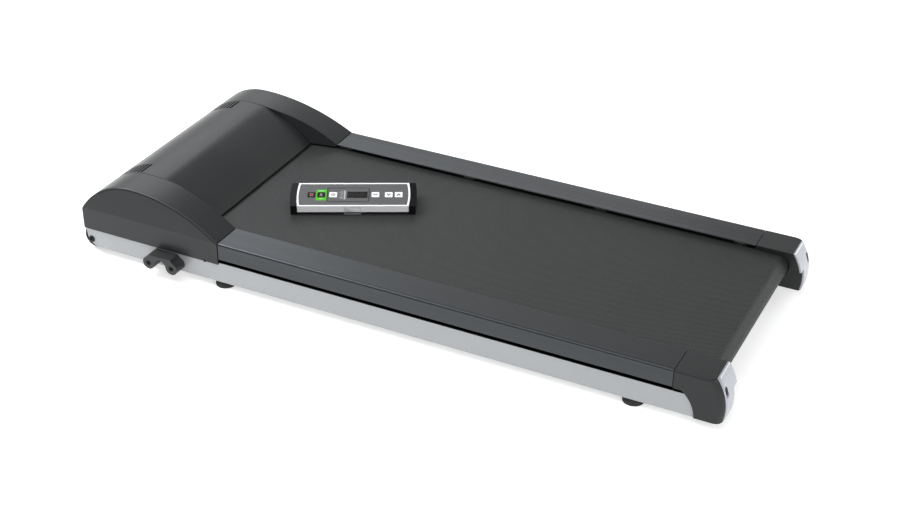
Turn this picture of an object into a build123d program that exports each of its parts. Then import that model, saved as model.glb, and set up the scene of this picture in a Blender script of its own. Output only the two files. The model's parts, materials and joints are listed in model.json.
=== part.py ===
from build123d import *
import os
from math import asin, atan2, cos, degrees, radians, sin, sqrt, tan

# Under-desk treadmill, lying along X with the walking end at +X and the motor hood at -X.
# The floor is Z = 0, the walker's left side is at -Y, and sizes are in millimetres.

# Heights of the stack from the floor up
FRAME_BOTTOM_Z = 17.0
FRAME_HEIGHT = 55.0
CUSHION_HEIGHT = 19.0
DECK_THICKNESS = 18.0
BELT_DECK_GAP = 0.3
BELT_THICKNESS = 2.0
RAIL_BELT_GAP = 7.7
RAIL_THICKNESS = 4.0

# Widths across the machine
COVER_HALF_WIDTH = 320.0
COVER_WALL = 3.0
COVER_FRAME_GAP = 0.5
RAIL_WIDTH = 81.0
RAIL_BELT_OVERLAP = 3.0
DECK_SIDE_GAP = 14.0
DECK_CORNER_RADIUS = 10.0

# Lengths along the machine
HOOD_FRONT_X = -805.0
HOOD_LENGTH = 386.0
REAR_ROLLER_X = 758.0
FRAME_FRONT_SETBACK = 4.0
FRAME_REAR_SETBACK = 6.5
RAIL_REAR_SETBACK = 56.0
DECK_FRONT_SETBACK = 55.0
DECK_REAR_SETBACK = 58.0

# Running and moving clearances
RUN_CLEARANCE = 0.3
SHAFT_CLEARANCE = 0.05
HOLE_CLEARANCE = 0.3
AXLE_BORE_CLEARANCE = 2.0
CUT_OVERRUN = 1.0

# Side members, pressed steel channels
CHANNEL_WALL = 2.5
CHANNEL_DEPTH = 40.0
WEB_CORNER_RADIUS = 34.0

# Cross members, rectangular tubes between the channels
TUBE_WIDTH = 40.0
TUBE_HEIGHT = 30.0
TUBE_WALL = 2.0
CRADLE_TUBE_SPACING = 90.0
MIDDLE_TUBE_X = -100.0
REAR_TUBE_SETBACK = 88.0

# Belly pan with its turned-up front panel
PAN_SHEET = 1.5
PAN_FRONT_SETBACK = 7.0
PAN_LENGTH = 198.0
PAN_FRONT_LAP = 4.0
PAN_SIDE_GAP = 0.5

# Deck mounts
CUSHION_RADIUS = 11.0
CUSHION_INSET = 12.0
CUSHION_COUNT = 4
CUSHION_FRONT_GAP = 80.0
CUSHION_REAR_GAP = 140.0
DECK_SCREW_RADIUS = 3.5
DECK_SCREW_HEAD_RADIUS = 7.0
DECK_SCREW_HEAD_HEIGHT = 5.0
DECK_SCREW_TAIL = 9.0

# Clips that hold the foot rails on the deck
CLIP_COUNT = 4
CLIP_FRONT_GAP = 16.0
CLIP_REAR_GAP = 42.0
CLIP_LENGTH = 30.0
CLIP_WIDTH = 32.0
CLIP_FOOT_HEIGHT = 3.0
CLIP_CREST_LENGTH = 18.0
CLIP_RAIL_INSET = 17.0

# Foot rails, aluminium extrusions
RAIL_SKIRT = 42.0
RAIL_SKIRT_WALL = 3.0
RAIL_EDGE_RADIUS = 6.0
RAIL_LIP_RADIUS = 1.6
RAIL_GROOVES = 11
RAIL_GROOVE_PITCH = 5.5
RAIL_GROOVE_WIDTH = 1.2
RAIL_GROOVE_DEPTH = 0.5
RAIL_GROOVE_INSET = 10.0

# Rollers
DRUM_RADIUS = 24.0
DRUM_WALL = 3.5
DRUM_OVERHANG = 3.0
DRUM_PLUG_LENGTH = 22.0
AXLE_RADIUS = 8.5
BEARING_RADIUS = 17.5
BEARING_WIDTH = 10.0
BEARING_INSET = 2.0
FRONT_AXLE_END = 6.0
REAR_AXLE_END = 11.0

# Axle brackets welded on the channels
FRONT_BRACKET_INSET = 22.0
FRONT_BRACKET_PLATE = 6.0
FRONT_BRACKET_LENGTH = 56.0
BRACKET_HEIGHT = 29.0
REAR_BRACKET_INSET = 30.0
REAR_BRACKET_PLATE = 6.0
REAR_BRACKET_BASE = 4.0
REAR_BRACKET_FRONT_REACH = 58.0
REAR_BRACKET_REAR_REACH = 28.0
REAR_BRACKET_WEB_GAP = 4.0
AXLE_SLOT_TRAVEL = 14.0

# Tension bolts
TENSION_BOLT_INSET = 16.0
TENSION_BOLT_RADIUS = 4.0
TENSION_BOLT_HEAD_RADIUS = 7.0
TENSION_BOLT_HEAD = 8.0
TENSION_BOLT_REACH = 26.0
TENSION_SOCKET_RADIUS = 3.0
TENSION_SOCKET_DEPTH = 4.5

# Drive pulleys and belt
PULLEY_DRUM_GAP = 5.0
PULLEY_WIDTH = 20.0
ROLLER_PULLEY_RADIUS = 40.0
ROLLER_PULLEY_HUB_RADIUS = 22.0
MOTOR_PULLEY_RADIUS = 16.0
GROOVE_PITCH = 3.56
GROOVE_DEPTH = 2.4
GROOVE_COUNT = 4
GROOVE_OVERRUN = 0.1
DRIVE_SPAN = 115.0
DRIVE_BELT_WIDTH = 16.0
DRIVE_BELT_THICKNESS = 4.0

# Drive motor
MOTOR_SETBACK = 115.0
MOTOR_CRADLE_GAP = 8.5
MOTOR_RADIUS = 52.0
MOTOR_LENGTH = 186.0
MOTOR_PULLEY_REACH = 34.0
MOTOR_WALL = 5.0
MOTOR_END_BELL = 14.0
MOTOR_VENTS = 8
MOTOR_VENT_RADIUS = 7.3
ARMATURE_RADIUS = 42.0
ARMATURE_END_GAP = 12.0
MOTOR_SHAFT_RADIUS = 8.0
MOTOR_SHAFT_TAIL = 6.0
FLYWHEEL_RADIUS = 46.0
FLYWHEEL_WIDTH = 18.0
FLYWHEEL_GAP = 6.0
CRADLE_PLATE = 4.0
CRADLE_SADDLE_WIDTH = 12.0
CRADLE_SADDLE_INSET = 24.0
CRADLE_SADDLE_HEIGHT = 44.0
CRADLE_CLEARANCE = 0.2

# Motor controller on its heat sink
SINK_BASE = 6.0
SINK_MOTOR_GAP = 90.0
SINK_LENGTH = 150.0
SINK_FINS = 6
SINK_FIN_PITCH = 9.0
SINK_FIN_WALL = 3.0
SINK_FIN_HEIGHT = 30.0
BOARD_STANDOFF = 9.0
BOARD_STANDOFF_RADIUS = 4.0
BOARD_THICKNESS = 1.6
BOARD_MARGIN = 6.0
CAPACITOR_RADIUS = 11.0
CAPACITOR_HEIGHT = 34.0
CAPACITOR_SPACING = 28.0
CAPACITOR_OFFSET = 24.0
RELAY_LENGTH = 28.0
RELAY_WIDTH = 18.0
RELAY_HEIGHT = 16.0
RELAY_OFFSET = 10.0

# Speed sensor on the drive side front bracket
SENSOR_LENGTH = 16.0
SENSOR_HEIGHT = 10.0
SENSOR_PULLEY_GAP = 2.5

# Mains inlet with its rocker switch
INLET_Y = -120.0
INLET_RISE = 26.5
INLET_FLANGE_WIDTH = 74.0
INLET_FLANGE_HEIGHT = 30.0
INLET_FLANGE = 3.0
INLET_BODY_DEPTH = 24.0
INLET_BODY_MARGIN = 4.0
SOCKET_WIDTH = 25.0
SOCKET_HEIGHT = 17.5
SOCKET_DEPTH = 18.0
SOCKET_OFFSET_Y = -16.0
ROCKER_OFFSET_Y = 20.0
ROCKER_RADIUS = 10.0
ROCKER_WIDTH = 12.0
ROCKER_PROUD = 4.0
ROCKER_HOLLOW_RADIUS = 30.0

# Motor hood: one middle panel between two cheeks
HOOD_CREST_SETBACK = 137.0
HOOD_CREST_RISE = 74.0
HOOD_RAIL_GAP = 3.0
HOOD_FRAME_LAP = 6.5
HOOD_WALL = 3.0
HOOD_SIDE_LEAN = 11.7
HOOD_EDGE_RADIUS = 6.0
SEAM_INSET = 17.0
SEAM_GAP = 1.5
PANEL_BREAK_RUN = 46.0
PANEL_BREAK_DROP = 3.0
PANEL_BREAK_MITRE = 0.33
PANEL_TIP_MITRE = 1.5
PANEL_REAR_REACH = 87.0
PANEL_BELT_GAP = 6.0
PANEL_DROP_RADIUS = 310.0
FACET_SLOPE_X = 0.18
FACET_SLOPE_Z = 0.2116
LIP_REACH = 14.0
LIP_WALL = 2.5
LIP_CLEARANCE = 0.3
HOOD_DECK_CLEARANCE = 6.0
HOOD_RIB_SETBACKS = (70.0, 335.0)
HOOD_RIB_DEPTH = 18.0
HOOD_RIB_HEIGHT = 50.0
VENT_SLOTS = 7
VENT_LENGTH = 45.6
VENT_WIDTH = 6.0
VENT_PITCH = 11.0
VENT_SEAM_GAP = 27.5
VENT_FIRST_OFFSET_X = -29.5
HOOD_SCREW_SETBACK = 39.0
HOOD_SCREW_RADIUS = 2.5
HOOD_SCREW_HEAD_RADIUS = 4.2
HOOD_SCREW_HEAD = 2.6
HOOD_SCREW_LENGTH = 10.0
HOOD_NOTCH_RADIUS = 5.0

# Rear caps with their silver end plates
CAP_JOINT_GAP = 1.5
CAP_TOP_REACH = 38.0
CAP_BULGE_REACH = 61.0
CAP_BULGE_RISE = 34.0
CAP_STEP_RISE = 6.0
CAP_STEP_REACH = 36.0
CAP_FRONT_ARC_RADIUS = 78.0
CAP_FLOOR = 3.0
CAP_INNER_WALL = 3.0
CAP_REAR_WALL = 3.5
CAP_CORNER_RADIUS = 20.0
CAP_BOTTOM_RADIUS = 10.0
CAP_EDGE_RADIUS = 5.0
CAP_ROLLER_CLEARANCE = 2.2
CAP_RIM_WIDTH = 2.5
CAP_RIM_PROUD = 1.5
CAP_RIM_TOP_GAP = 2.0
CAP_RECESS_GAP = 14.0
CAP_RECESS_DROP = 7.0
PLATE_THICKNESS = 4.0
PLATE_GAP = 0.3
PLATE_OUTER_INSET = 11.0
PLATE_BOTTOM_GAP = 4.0
TOOL_HOLE_WIDTH = 12.0
TOOL_HOLE_HEIGHT = 26.0
TOOL_HOLE_RISE = 3.0

# Transport wheels
WHEEL_SETBACK = 16.0
WHEEL_Z = 36.0
WHEEL_RADIUS = 30.0
WHEEL_WIDTH = 22.0
WHEEL_WEB_GAP = 8.0
WHEEL_TREAD_BEVEL = 3.0
WHEEL_DISH_DEPTH = 3.0
WHEEL_RIM_WALL = 6.0
WHEEL_HUB_RADIUS = 9.0
WHEEL_FLANGE_GAP = 6.0
WHEEL_BOLT_RADIUS = 5.0
WHEEL_BOLT_HEAD_RADIUS = 8.5
WHEEL_BOLT_HEAD = 4.0
WHEEL_SPACER_RADIUS = 8.0
WHEEL_SIDE_PLAY = 0.4
WHEEL_NUT_RADIUS = 8.0
WHEEL_NUT = 6.0

# Side brackets
BRACKET_ROLLER_SETBACK = 23.0
BRACKET_LOBE_SPACING = 64.5
BRACKET_LOBE_RADIUS = 16.0
BRACKET_LOBE_RISE = 21.0
BRACKET_RISE = 23.0
BRACKET_BRIDGE = 9.0
BRACKET_CHAMFER_RUN = 18.0
BRACKET_NOTCH_WIDTH = 32.0
BRACKET_WIDTH = 33.5
BRACKET_BORE_RADIUS = 6.5
BRACKET_BORE_DEPTH = 7.0
BRACKET_SCREW_RADIUS = 4.0
BRACKET_SCREW_HEAD_RADIUS = 6.0
BRACKET_SCREW_HEAD = 5.0
BRACKET_SCREW_TAIL = 8.0

# Levelling feet
FOOT_FRONT_SETBACK = 2.0
FOOT_REAR_SETBACK = 90.0
FOOT_INSET = 20.5
FOOT_RADIUS = 25.0
FOOT_TOP_RADIUS = 19.0
FOOT_PAD_HEIGHT = 12.5
FOOT_LIP_HEIGHT = 6.0
FOOT_STUD_RADIUS = 5.0
FOOT_STUD_REACH = 23.0

# Control console lying on the belt
CONSOLE_X = -234.0
CONSOLE_Y = 1.0
CONSOLE_TURN = 27.0
CONSOLE_BODY_LENGTH = 268.0
CONSOLE_CAP_LENGTH = 16.0
CONSOLE_DEPTH = 92.0
CONSOLE_FRONT_Z = 23.0
CONSOLE_BACK_Z = 35.5
CONSOLE_FLOOR_Z = 6.5
CONSOLE_WALL = 2.5
CONSOLE_END_BULGE = 3.5
CONSOLE_CAP_PROUD = 1.2
CONSOLE_EDGE_RADIUS = 2.5
OVERLAY_MARGIN = 4.5
OVERLAY_THICKNESS = 1.0
OVERLAY_GAP = 0.15
KEY_ROW_Y = -1.5
KEY_WIDTH = 18.7
KEY_DEPTH = 20.0
KEY_CORNER = 2.2
KEY_PROUD = 0.5
KEY_HEIGHT = 4.5
KEY_CLEARANCE = 0.35
KEY_TRAVEL = 0.6
KEY_OVERTRAVEL = 0.2
STOP_KEY_END_GAP = 32.2
START_KEY_END_GAP = 56.0
MODE_KEY_END_GAP = 84.8
SELECT_KEY_END_GAP = 80.8
DOWN_KEY_END_GAP = 48.6
UP_KEY_END_GAP = 24.6
DISPLAY_X = 9.4
DISPLAY_WIDTH = 49.0
DISPLAY_DEPTH = 25.0
DISPLAY_THICKNESS = 4.6
CONSOLE_BOARD_THICKNESS = 1.6
BOARD_END_GAP = 11.0
BOARD_SIDE_GAP = 14.0
SWITCH_SIZE = 7.0
POST_RADIUS = 3.0
POST_INSET = 6.0
TAB_WIDTH = 40.5
TAB_THICKNESS = 1.0
TAB_BELT_GAP = 1.0
TAB_X = -1.2

# Levels and faces that follow from the sizes above
FRAME_TOP_Z = FRAME_BOTTOM_Z + FRAME_HEIGHT
DECK_BOTTOM_Z = FRAME_TOP_Z + CUSHION_HEIGHT
DECK_TOP_Z = DECK_BOTTOM_Z + DECK_THICKNESS
BELT_TOP_Z = DECK_TOP_Z + BELT_DECK_GAP + BELT_THICKNESS
RAIL_BOTTOM_Z = BELT_TOP_Z + RAIL_BELT_GAP
RAIL_TOP_Z = RAIL_BOTTOM_Z + RAIL_THICKNESS
BELT_INNER_RADIUS = DRUM_RADIUS + RUN_CLEARANCE
BELT_OUTER_RADIUS = BELT_INNER_RADIUS + BELT_THICKNESS
AXLE_Z = DECK_TOP_Z + BELT_DECK_GAP - BELT_INNER_RADIUS
FLOOR_FLANGE_TOP_Z = FRAME_BOTTOM_Z + CHANNEL_WALL
TUBE_TOP_Z = FLOOR_FLANGE_TOP_Z + TUBE_HEIGHT
PAN_FRONT_TOP_Z = FRAME_TOP_Z + PAN_FRONT_LAP
MOTOR_Z = TUBE_TOP_Z + CRADLE_PLATE + MOTOR_CRADLE_GAP + MOTOR_RADIUS
INLET_Z = FLOOR_FLANGE_TOP_Z + INLET_RISE
HOOD_BOTTOM_Z = FRAME_TOP_Z - HOOD_FRAME_LAP
HOOD_CREST_Z = RAIL_TOP_Z + HOOD_CREST_RISE
CAP_BULGE_Z = FRAME_BOTTOM_Z + CAP_BULGE_RISE
CAP_STEP_Z = FRAME_TOP_Z + CAP_STEP_RISE
CAP_RECESS_Z = AXLE_Z - CAP_RECESS_DROP
TOOL_HOLE_Z = AXLE_Z + TOOL_HOLE_RISE
BRACKET_LOBE_Z = FRAME_BOTTOM_Z + BRACKET_LOBE_RISE
BRACKET_TOP_Z = BRACKET_LOBE_Z + BRACKET_RISE
FOOT_STUD_TOP_Z = FRAME_BOTTOM_Z + FOOT_STUD_REACH

RAIL_INNER_Y = COVER_HALF_WIDTH - RAIL_WIDTH
BELT_HALF_WIDTH = RAIL_INNER_Y + RAIL_BELT_OVERLAP
DRUM_HALF_LENGTH = BELT_HALF_WIDTH + DRUM_OVERHANG
WEB_Y = COVER_HALF_WIDTH - COVER_WALL - COVER_FRAME_GAP
WEB_INNER_Y = WEB_Y - CHANNEL_WALL
FLANGE_INNER_Y = WEB_Y - CHANNEL_DEPTH
DECK_HALF_WIDTH = WEB_INNER_Y - DECK_SIDE_GAP
CUSHION_Y = DECK_HALF_WIDTH - CUSHION_INSET
CLIP_INNER_Y = RAIL_INNER_Y + CLIP_RAIL_INSET
FRONT_BRACKET_Y = WEB_INNER_Y - FRONT_BRACKET_INSET
FRONT_AXLE_HALF_LENGTH = FRONT_BRACKET_Y + FRONT_BRACKET_PLATE + FRONT_AXLE_END
REAR_BRACKET_Y = WEB_INNER_Y - REAR_BRACKET_INSET
REAR_BRACKET_OUTER_Y = WEB_INNER_Y - REAR_BRACKET_WEB_GAP
TENSION_BOLT_Y = WEB_INNER_Y - TENSION_BOLT_INSET
REAR_AXLE_HALF_LENGTH = TENSION_BOLT_Y + REAR_AXLE_END
PULLEY_INNER_Y = DRUM_HALF_LENGTH + PULLEY_DRUM_GAP
PULLEY_OUTER_Y = PULLEY_INNER_Y + PULLEY_WIDTH
MOTOR_END_Y = PULLEY_INNER_Y - MOTOR_PULLEY_REACH
MOTOR_START_Y = MOTOR_END_Y - MOTOR_LENGTH
SINK_START_Y = MOTOR_START_Y - SINK_MOTOR_GAP - SINK_LENGTH
SEAM_Y = RAIL_INNER_Y - SEAM_INSET
VENT_CENTER_Y = SEAM_Y - VENT_SEAM_GAP
CAP_RECESS_Y = DRUM_HALF_LENGTH + CAP_RECESS_GAP
PLATE_OUTER_Y = COVER_HALF_WIDTH - PLATE_OUTER_INSET
BRACKET_OUTER_Y = WEB_Y + BRACKET_WIDTH
FOOT_Y = WEB_INNER_Y - FOOT_INSET

HOOD_REAR_X = HOOD_FRONT_X + HOOD_LENGTH
HOOD_CREST_X = HOOD_FRONT_X + HOOD_CREST_SETBACK
HOOD_SCREW_X = HOOD_REAR_X - HOOD_SCREW_SETBACK
MOTOR_X = HOOD_FRONT_X + MOTOR_SETBACK
FRONT_ROLLER_X = MOTOR_X + DRIVE_SPAN
PANEL_BREAK_X = HOOD_CREST_X + PANEL_BREAK_RUN
PANEL_REAR_X = FRONT_ROLLER_X + PANEL_REAR_REACH
FRAME_FRONT_X = HOOD_FRONT_X + FRAME_FRONT_SETBACK
FRAME_REAR_X = REAR_ROLLER_X - FRAME_REAR_SETBACK
PAN_FRONT_X = HOOD_FRONT_X + PAN_FRONT_SETBACK
PAN_REAR_X = PAN_FRONT_X + PAN_LENGTH
WHEEL_X = HOOD_FRONT_X + WHEEL_SETBACK
RAIL_FRONT_X = HOOD_REAR_X + HOOD_RAIL_GAP
RAIL_REAR_X = REAR_ROLLER_X - RAIL_REAR_SETBACK
DECK_FRONT_X = FRONT_ROLLER_X + DECK_FRONT_SETBACK
DECK_REAR_X = REAR_ROLLER_X - DECK_REAR_SETBACK
CRADLE_FRONT_TUBE_X = MOTOR_X - CRADLE_TUBE_SPACING / 2
CRADLE_REAR_TUBE_X = MOTOR_X + CRADLE_TUBE_SPACING / 2
REAR_TUBE_X = REAR_ROLLER_X - REAR_TUBE_SETBACK
REAR_BRACKET_FRONT_X = REAR_ROLLER_X - REAR_BRACKET_FRONT_REACH
REAR_BRACKET_REAR_X = REAR_ROLLER_X + REAR_BRACKET_REAR_REACH
TENSION_BOLT_FRONT_X = REAR_ROLLER_X - TENSION_BOLT_REACH
CAP_FRONT_X = RAIL_REAR_X + CAP_JOINT_GAP
CAP_TOP_REAR_X = REAR_ROLLER_X + CAP_TOP_REACH
CAP_BULGE_X = REAR_ROLLER_X + CAP_BULGE_REACH
CAP_STEP_X = REAR_ROLLER_X - CAP_STEP_REACH
BRACKET_FRONT_X = FRONT_ROLLER_X - BRACKET_ROLLER_SETBACK
FOOT_FRONT_X = RAIL_FRONT_X - FOOT_FRONT_SETBACK
FOOT_REAR_X = RAIL_REAR_X - FOOT_REAR_SETBACK
CONSOLE_LENGTH = CONSOLE_BODY_LENGTH + 2 * CONSOLE_CAP_LENGTH
CONSOLE_END_X = CONSOLE_BODY_LENGTH / 2
BOARD_HALF_LENGTH = CONSOLE_END_X - BOARD_END_GAP
BOARD_HALF_DEPTH = CONSOLE_DEPTH / 2 - BOARD_SIDE_GAP
POST_X = BOARD_HALF_LENGTH - POST_INSET
POST_Y = BOARD_HALF_DEPTH - POST_INSET
KEY_CENTERS = {
    "stop_key": STOP_KEY_END_GAP - CONSOLE_END_X,
    "start_key": START_KEY_END_GAP - CONSOLE_END_X,
    "mode_key": MODE_KEY_END_GAP - CONSOLE_END_X,
    "select_key": CONSOLE_END_X - SELECT_KEY_END_GAP,
    "down_key": CONSOLE_END_X - DOWN_KEY_END_GAP,
    "up_key": CONSOLE_END_X - UP_KEY_END_GAP,
}


def block(x0, x1, y0, y1, z0, z1):
    """A box between two corners."""
    size = Box(x1 - x0, y1 - y0, z1 - z0)
    return Pos((x0 + x1) / 2, (y0 + y1) / 2, (z0 + z1) / 2) * size


def rod_x(radius, x0, x1, y, z):
    """A round bar along X."""
    return Pos((x0 + x1) / 2, y, z) * Rot(0, 90, 0) * Cylinder(radius, x1 - x0)


def rod_y(radius, y0, y1, x, z):
    """A round bar along Y."""
    return Pos(x, (y0 + y1) / 2, z) * Rot(90, 0, 0) * Cylinder(radius, y1 - y0)


def rod_z(radius, z0, z1, x, y):
    """A round bar along Z."""
    return Pos(x, y, (z0 + z1) / 2) * Cylinder(radius, z1 - z0)


def bore_y(radius, y0, y1, x, z):
    """A round hole along Y that runs past both faces."""
    return rod_y(radius, y0 - CUT_OVERRUN, y1 + CUT_OVERRUN, x, z)


def bore_z(radius, z0, z1, x, y):
    """A round hole along Z that runs past both faces."""
    return rod_z(radius, z0 - CUT_OVERRUN, z1 + CUT_OVERRUN, x, y)


def spaced(first, last, count):
    """Evenly spaced places from first to last."""
    return [first + index * (last - first) / (count - 1) for index in range(count)]


def extrude_y(profile, y0, y1):
    """A profile drawn in X and Z, drawn out from y0 to y1."""
    return extrude(Pos(0, y0, 0) * (Plane.XZ * profile), amount=y1 - y0, dir=(0, 1, 0))


def extrude_x(profile, x0, x1):
    """A profile drawn in Y and Z, drawn out from x0 to x1."""
    return extrude(Pos(x0, 0, 0) * (Plane.YZ * profile), amount=x1 - x0, dir=(1, 0, 0))


def other_side(piece):
    """The same piece for the opposite side of the machine."""
    return mirror(piece, about=Plane.XZ)


def hexagon_prism(across_radius, height):
    """A hexagonal prism standing on Z = 0."""
    return extrude(RegularPolygon(across_radius, 6), amount=height)


def write(name, piece):
    """Write one node."""
    piece.label = name
    export_step(piece, os.path.join("parts", name + ".step"))


def write_pair(name, right_piece):
    """Write a right hand piece and its left hand mirror image."""
    write(name + "_right", right_piece)
    write(name + "_left", other_side(right_piece))


def cushion_centers():
    """Places of the deck mounts along the machine."""
    return spaced(DECK_FRONT_X + CUSHION_FRONT_GAP, DECK_REAR_X - CUSHION_REAR_GAP, CUSHION_COUNT)


def side_member():
    """Right hand channel with its welded axle brackets."""
    outline = Rectangle(FRAME_REAR_X - FRAME_FRONT_X, FRAME_HEIGHT)
    nose = outline.vertices().sort_by(Axis.X)[:2].sort_by(Axis.Y)[0]
    outline = fillet(nose, WEB_CORNER_RADIUS)
    middle_x = (FRAME_FRONT_X + FRAME_REAR_X) / 2
    middle_z = (FRAME_BOTTOM_Z + FRAME_TOP_Z) / 2
    channel = extrude_y(Pos(middle_x, middle_z) * outline, WEB_INNER_Y, WEB_Y)
    top_z = FRAME_TOP_Z - CHANNEL_WALL
    channel += block(FRAME_FRONT_X, FRAME_REAR_X, FLANGE_INNER_Y, WEB_INNER_Y, top_z, FRAME_TOP_Z)
    floor_front_x = WHEEL_X + WHEEL_RADIUS + WHEEL_FLANGE_GAP
    channel += block(floor_front_x, FRAME_REAR_X, FLANGE_INNER_Y, WEB_INNER_Y,
                     FRAME_BOTTOM_Z, FLOOR_FLANGE_TOP_Z)

    bracket_top_z = FRAME_TOP_Z + BRACKET_HEIGHT
    half_length = FRONT_BRACKET_LENGTH / 2
    front_bracket = block(FRONT_ROLLER_X - half_length, FRONT_ROLLER_X + half_length, FRONT_BRACKET_Y,
                          FRONT_BRACKET_Y + FRONT_BRACKET_PLATE, FRAME_TOP_Z, bracket_top_z)
    channel += front_bracket

    rear_bracket = block(REAR_BRACKET_FRONT_X, REAR_BRACKET_REAR_X, REAR_BRACKET_Y,
                         REAR_BRACKET_OUTER_Y, FRAME_TOP_Z, FRAME_TOP_Z + REAR_BRACKET_BASE)
    rear_bracket += block(REAR_BRACKET_FRONT_X, REAR_BRACKET_REAR_X, REAR_BRACKET_Y,
                          REAR_BRACKET_Y + REAR_BRACKET_PLATE, FRAME_TOP_Z, bracket_top_z)
    rear_bracket += block(REAR_BRACKET_REAR_X - REAR_BRACKET_PLATE, REAR_BRACKET_REAR_X, REAR_BRACKET_Y,
                          REAR_BRACKET_OUTER_Y, FRAME_TOP_Z, bracket_top_z)
    slot = SlotCenterToCenter(AXLE_SLOT_TRAVEL, 2 * (AXLE_RADIUS + SHAFT_CLEARANCE))
    slot_start_y = REAR_BRACKET_Y - HOLE_CLEARANCE
    rear_bracket -= extrude_y(Pos(REAR_ROLLER_X, AXLE_Z) * slot, slot_start_y,
                              REAR_BRACKET_Y + REAR_BRACKET_PLATE + HOLE_CLEARANCE)
    channel += rear_bracket

    channel -= rod_y(AXLE_RADIUS + SHAFT_CLEARANCE, FLANGE_INNER_Y, WEB_INNER_Y, FRONT_ROLLER_X, AXLE_Z)
    channel -= rod_x(TENSION_BOLT_RADIUS + HOLE_CLEARANCE, REAR_ROLLER_X, REAR_BRACKET_REAR_X + CUT_OVERRUN,
                     TENSION_BOLT_Y, AXLE_Z)
    channel -= bore_y(WHEEL_BOLT_RADIUS + HOLE_CLEARANCE, WEB_INNER_Y, WEB_Y, WHEEL_X, WHEEL_Z)
    for lobe_x in (BRACKET_FRONT_X, BRACKET_FRONT_X + BRACKET_LOBE_SPACING):
        channel -= bore_y(BRACKET_SCREW_RADIUS + HOLE_CLEARANCE, WEB_INNER_Y, WEB_Y, lobe_x, BRACKET_LOBE_Z)
    channel -= bore_y(HOOD_SCREW_RADIUS + HOLE_CLEARANCE, WEB_INNER_Y, WEB_Y, HOOD_SCREW_X, HOOD_BOTTOM_Z)
    for cushion_x in cushion_centers():
        channel -= bore_z(DECK_SCREW_RADIUS + HOLE_CLEARANCE, top_z, FRAME_TOP_Z, cushion_x, CUSHION_Y)
    for foot_x in (FOOT_FRONT_X, FOOT_REAR_X):
        channel -= bore_z(FOOT_STUD_RADIUS + HOLE_CLEARANCE, FRAME_BOTTOM_Z, FLOOR_FLANGE_TOP_Z,
                          foot_x, FOOT_Y)
    return channel


def cross_members():
    """Rectangular tubes that tie the two channels together."""
    tubes = []
    for tube_x in (CRADLE_FRONT_TUBE_X, CRADLE_REAR_TUBE_X, MIDDLE_TUBE_X, REAR_TUBE_X):
        tube = block(tube_x - TUBE_WIDTH / 2, tube_x + TUBE_WIDTH / 2, -WEB_INNER_Y, WEB_INNER_Y,
                     FLOOR_FLANGE_TOP_Z, TUBE_TOP_Z)
        tube -= block(tube_x - TUBE_WIDTH / 2 + TUBE_WALL, tube_x + TUBE_WIDTH / 2 - TUBE_WALL,
                      -WEB_Y, WEB_Y, FLOOR_FLANGE_TOP_Z + TUBE_WALL, TUBE_TOP_Z - TUBE_WALL)
        tubes.append(tube)
    return Compound(children=tubes)


def belly_pan():
    """Sheet under the motor bay, turned up at the front to carry the mains inlet."""
    half_width = FLANGE_INNER_Y - PAN_SIDE_GAP
    sheet_bottom_z = FLOOR_FLANGE_TOP_Z - PAN_SHEET
    pan = block(PAN_FRONT_X, PAN_REAR_X, -half_width, half_width, sheet_bottom_z, FLOOR_FLANGE_TOP_Z)
    pan += block(PAN_FRONT_X, PAN_FRONT_X + PAN_SHEET, -half_width, half_width,
                 sheet_bottom_z, PAN_FRONT_TOP_Z)
    body_half_width = INLET_FLANGE_WIDTH / 2 - INLET_BODY_MARGIN + HOLE_CLEARANCE
    body_half_height = INLET_FLANGE_HEIGHT / 2 - INLET_BODY_MARGIN + HOLE_CLEARANCE
    pan -= block(PAN_FRONT_X - CUT_OVERRUN, PAN_FRONT_X + PAN_SHEET + CUT_OVERRUN,
                 INLET_Y - body_half_width, INLET_Y + body_half_width,
                 INLET_Z - body_half_height, INLET_Z + body_half_height)
    return pan


def deck_places():
    """Centres of the deck mounts on both sides."""
    return [(x, side * CUSHION_Y) for x in cushion_centers() for side in (-1, 1)]


def deck():
    """Laminated board that the belt slides on."""
    board = block(DECK_FRONT_X, DECK_REAR_X, -DECK_HALF_WIDTH, DECK_HALF_WIDTH, DECK_BOTTOM_Z, DECK_TOP_Z)
    board = fillet(board.edges().filter_by(Axis.Z), DECK_CORNER_RADIUS)
    for x, y in deck_places():
        board -= bore_z(DECK_SCREW_RADIUS + HOLE_CLEARANCE, DECK_BOTTOM_Z, DECK_TOP_Z, x, y)
        board -= rod_z(DECK_SCREW_HEAD_RADIUS + HOLE_CLEARANCE, DECK_TOP_Z - DECK_SCREW_HEAD_HEIGHT,
                       DECK_TOP_Z + CUT_OVERRUN, x, y)
    return board


def deck_cushions():
    """Rubber bushes between the channels and the deck."""
    bushes = []
    for x, y in deck_places():
        bush = rod_z(CUSHION_RADIUS, FRAME_TOP_Z, DECK_BOTTOM_Z, x, y)
        bush -= bore_z(DECK_SCREW_RADIUS + HOLE_CLEARANCE, FRAME_TOP_Z, DECK_BOTTOM_Z, x, y)
        bushes.append(bush)
    return Compound(children=bushes)


def deck_screws():
    """Flat headed screws through the deck and its cushions into the channels."""
    screws = []
    head_bottom_z = DECK_TOP_Z - DECK_SCREW_HEAD_HEIGHT
    for x, y in deck_places():
        screw = rod_z(DECK_SCREW_HEAD_RADIUS, head_bottom_z, DECK_TOP_Z, x, y)
        screw += rod_z(DECK_SCREW_RADIUS, FRAME_TOP_Z - DECK_SCREW_TAIL, head_bottom_z, x, y)
        screws.append(screw)
    return Compound(children=screws)


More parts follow.
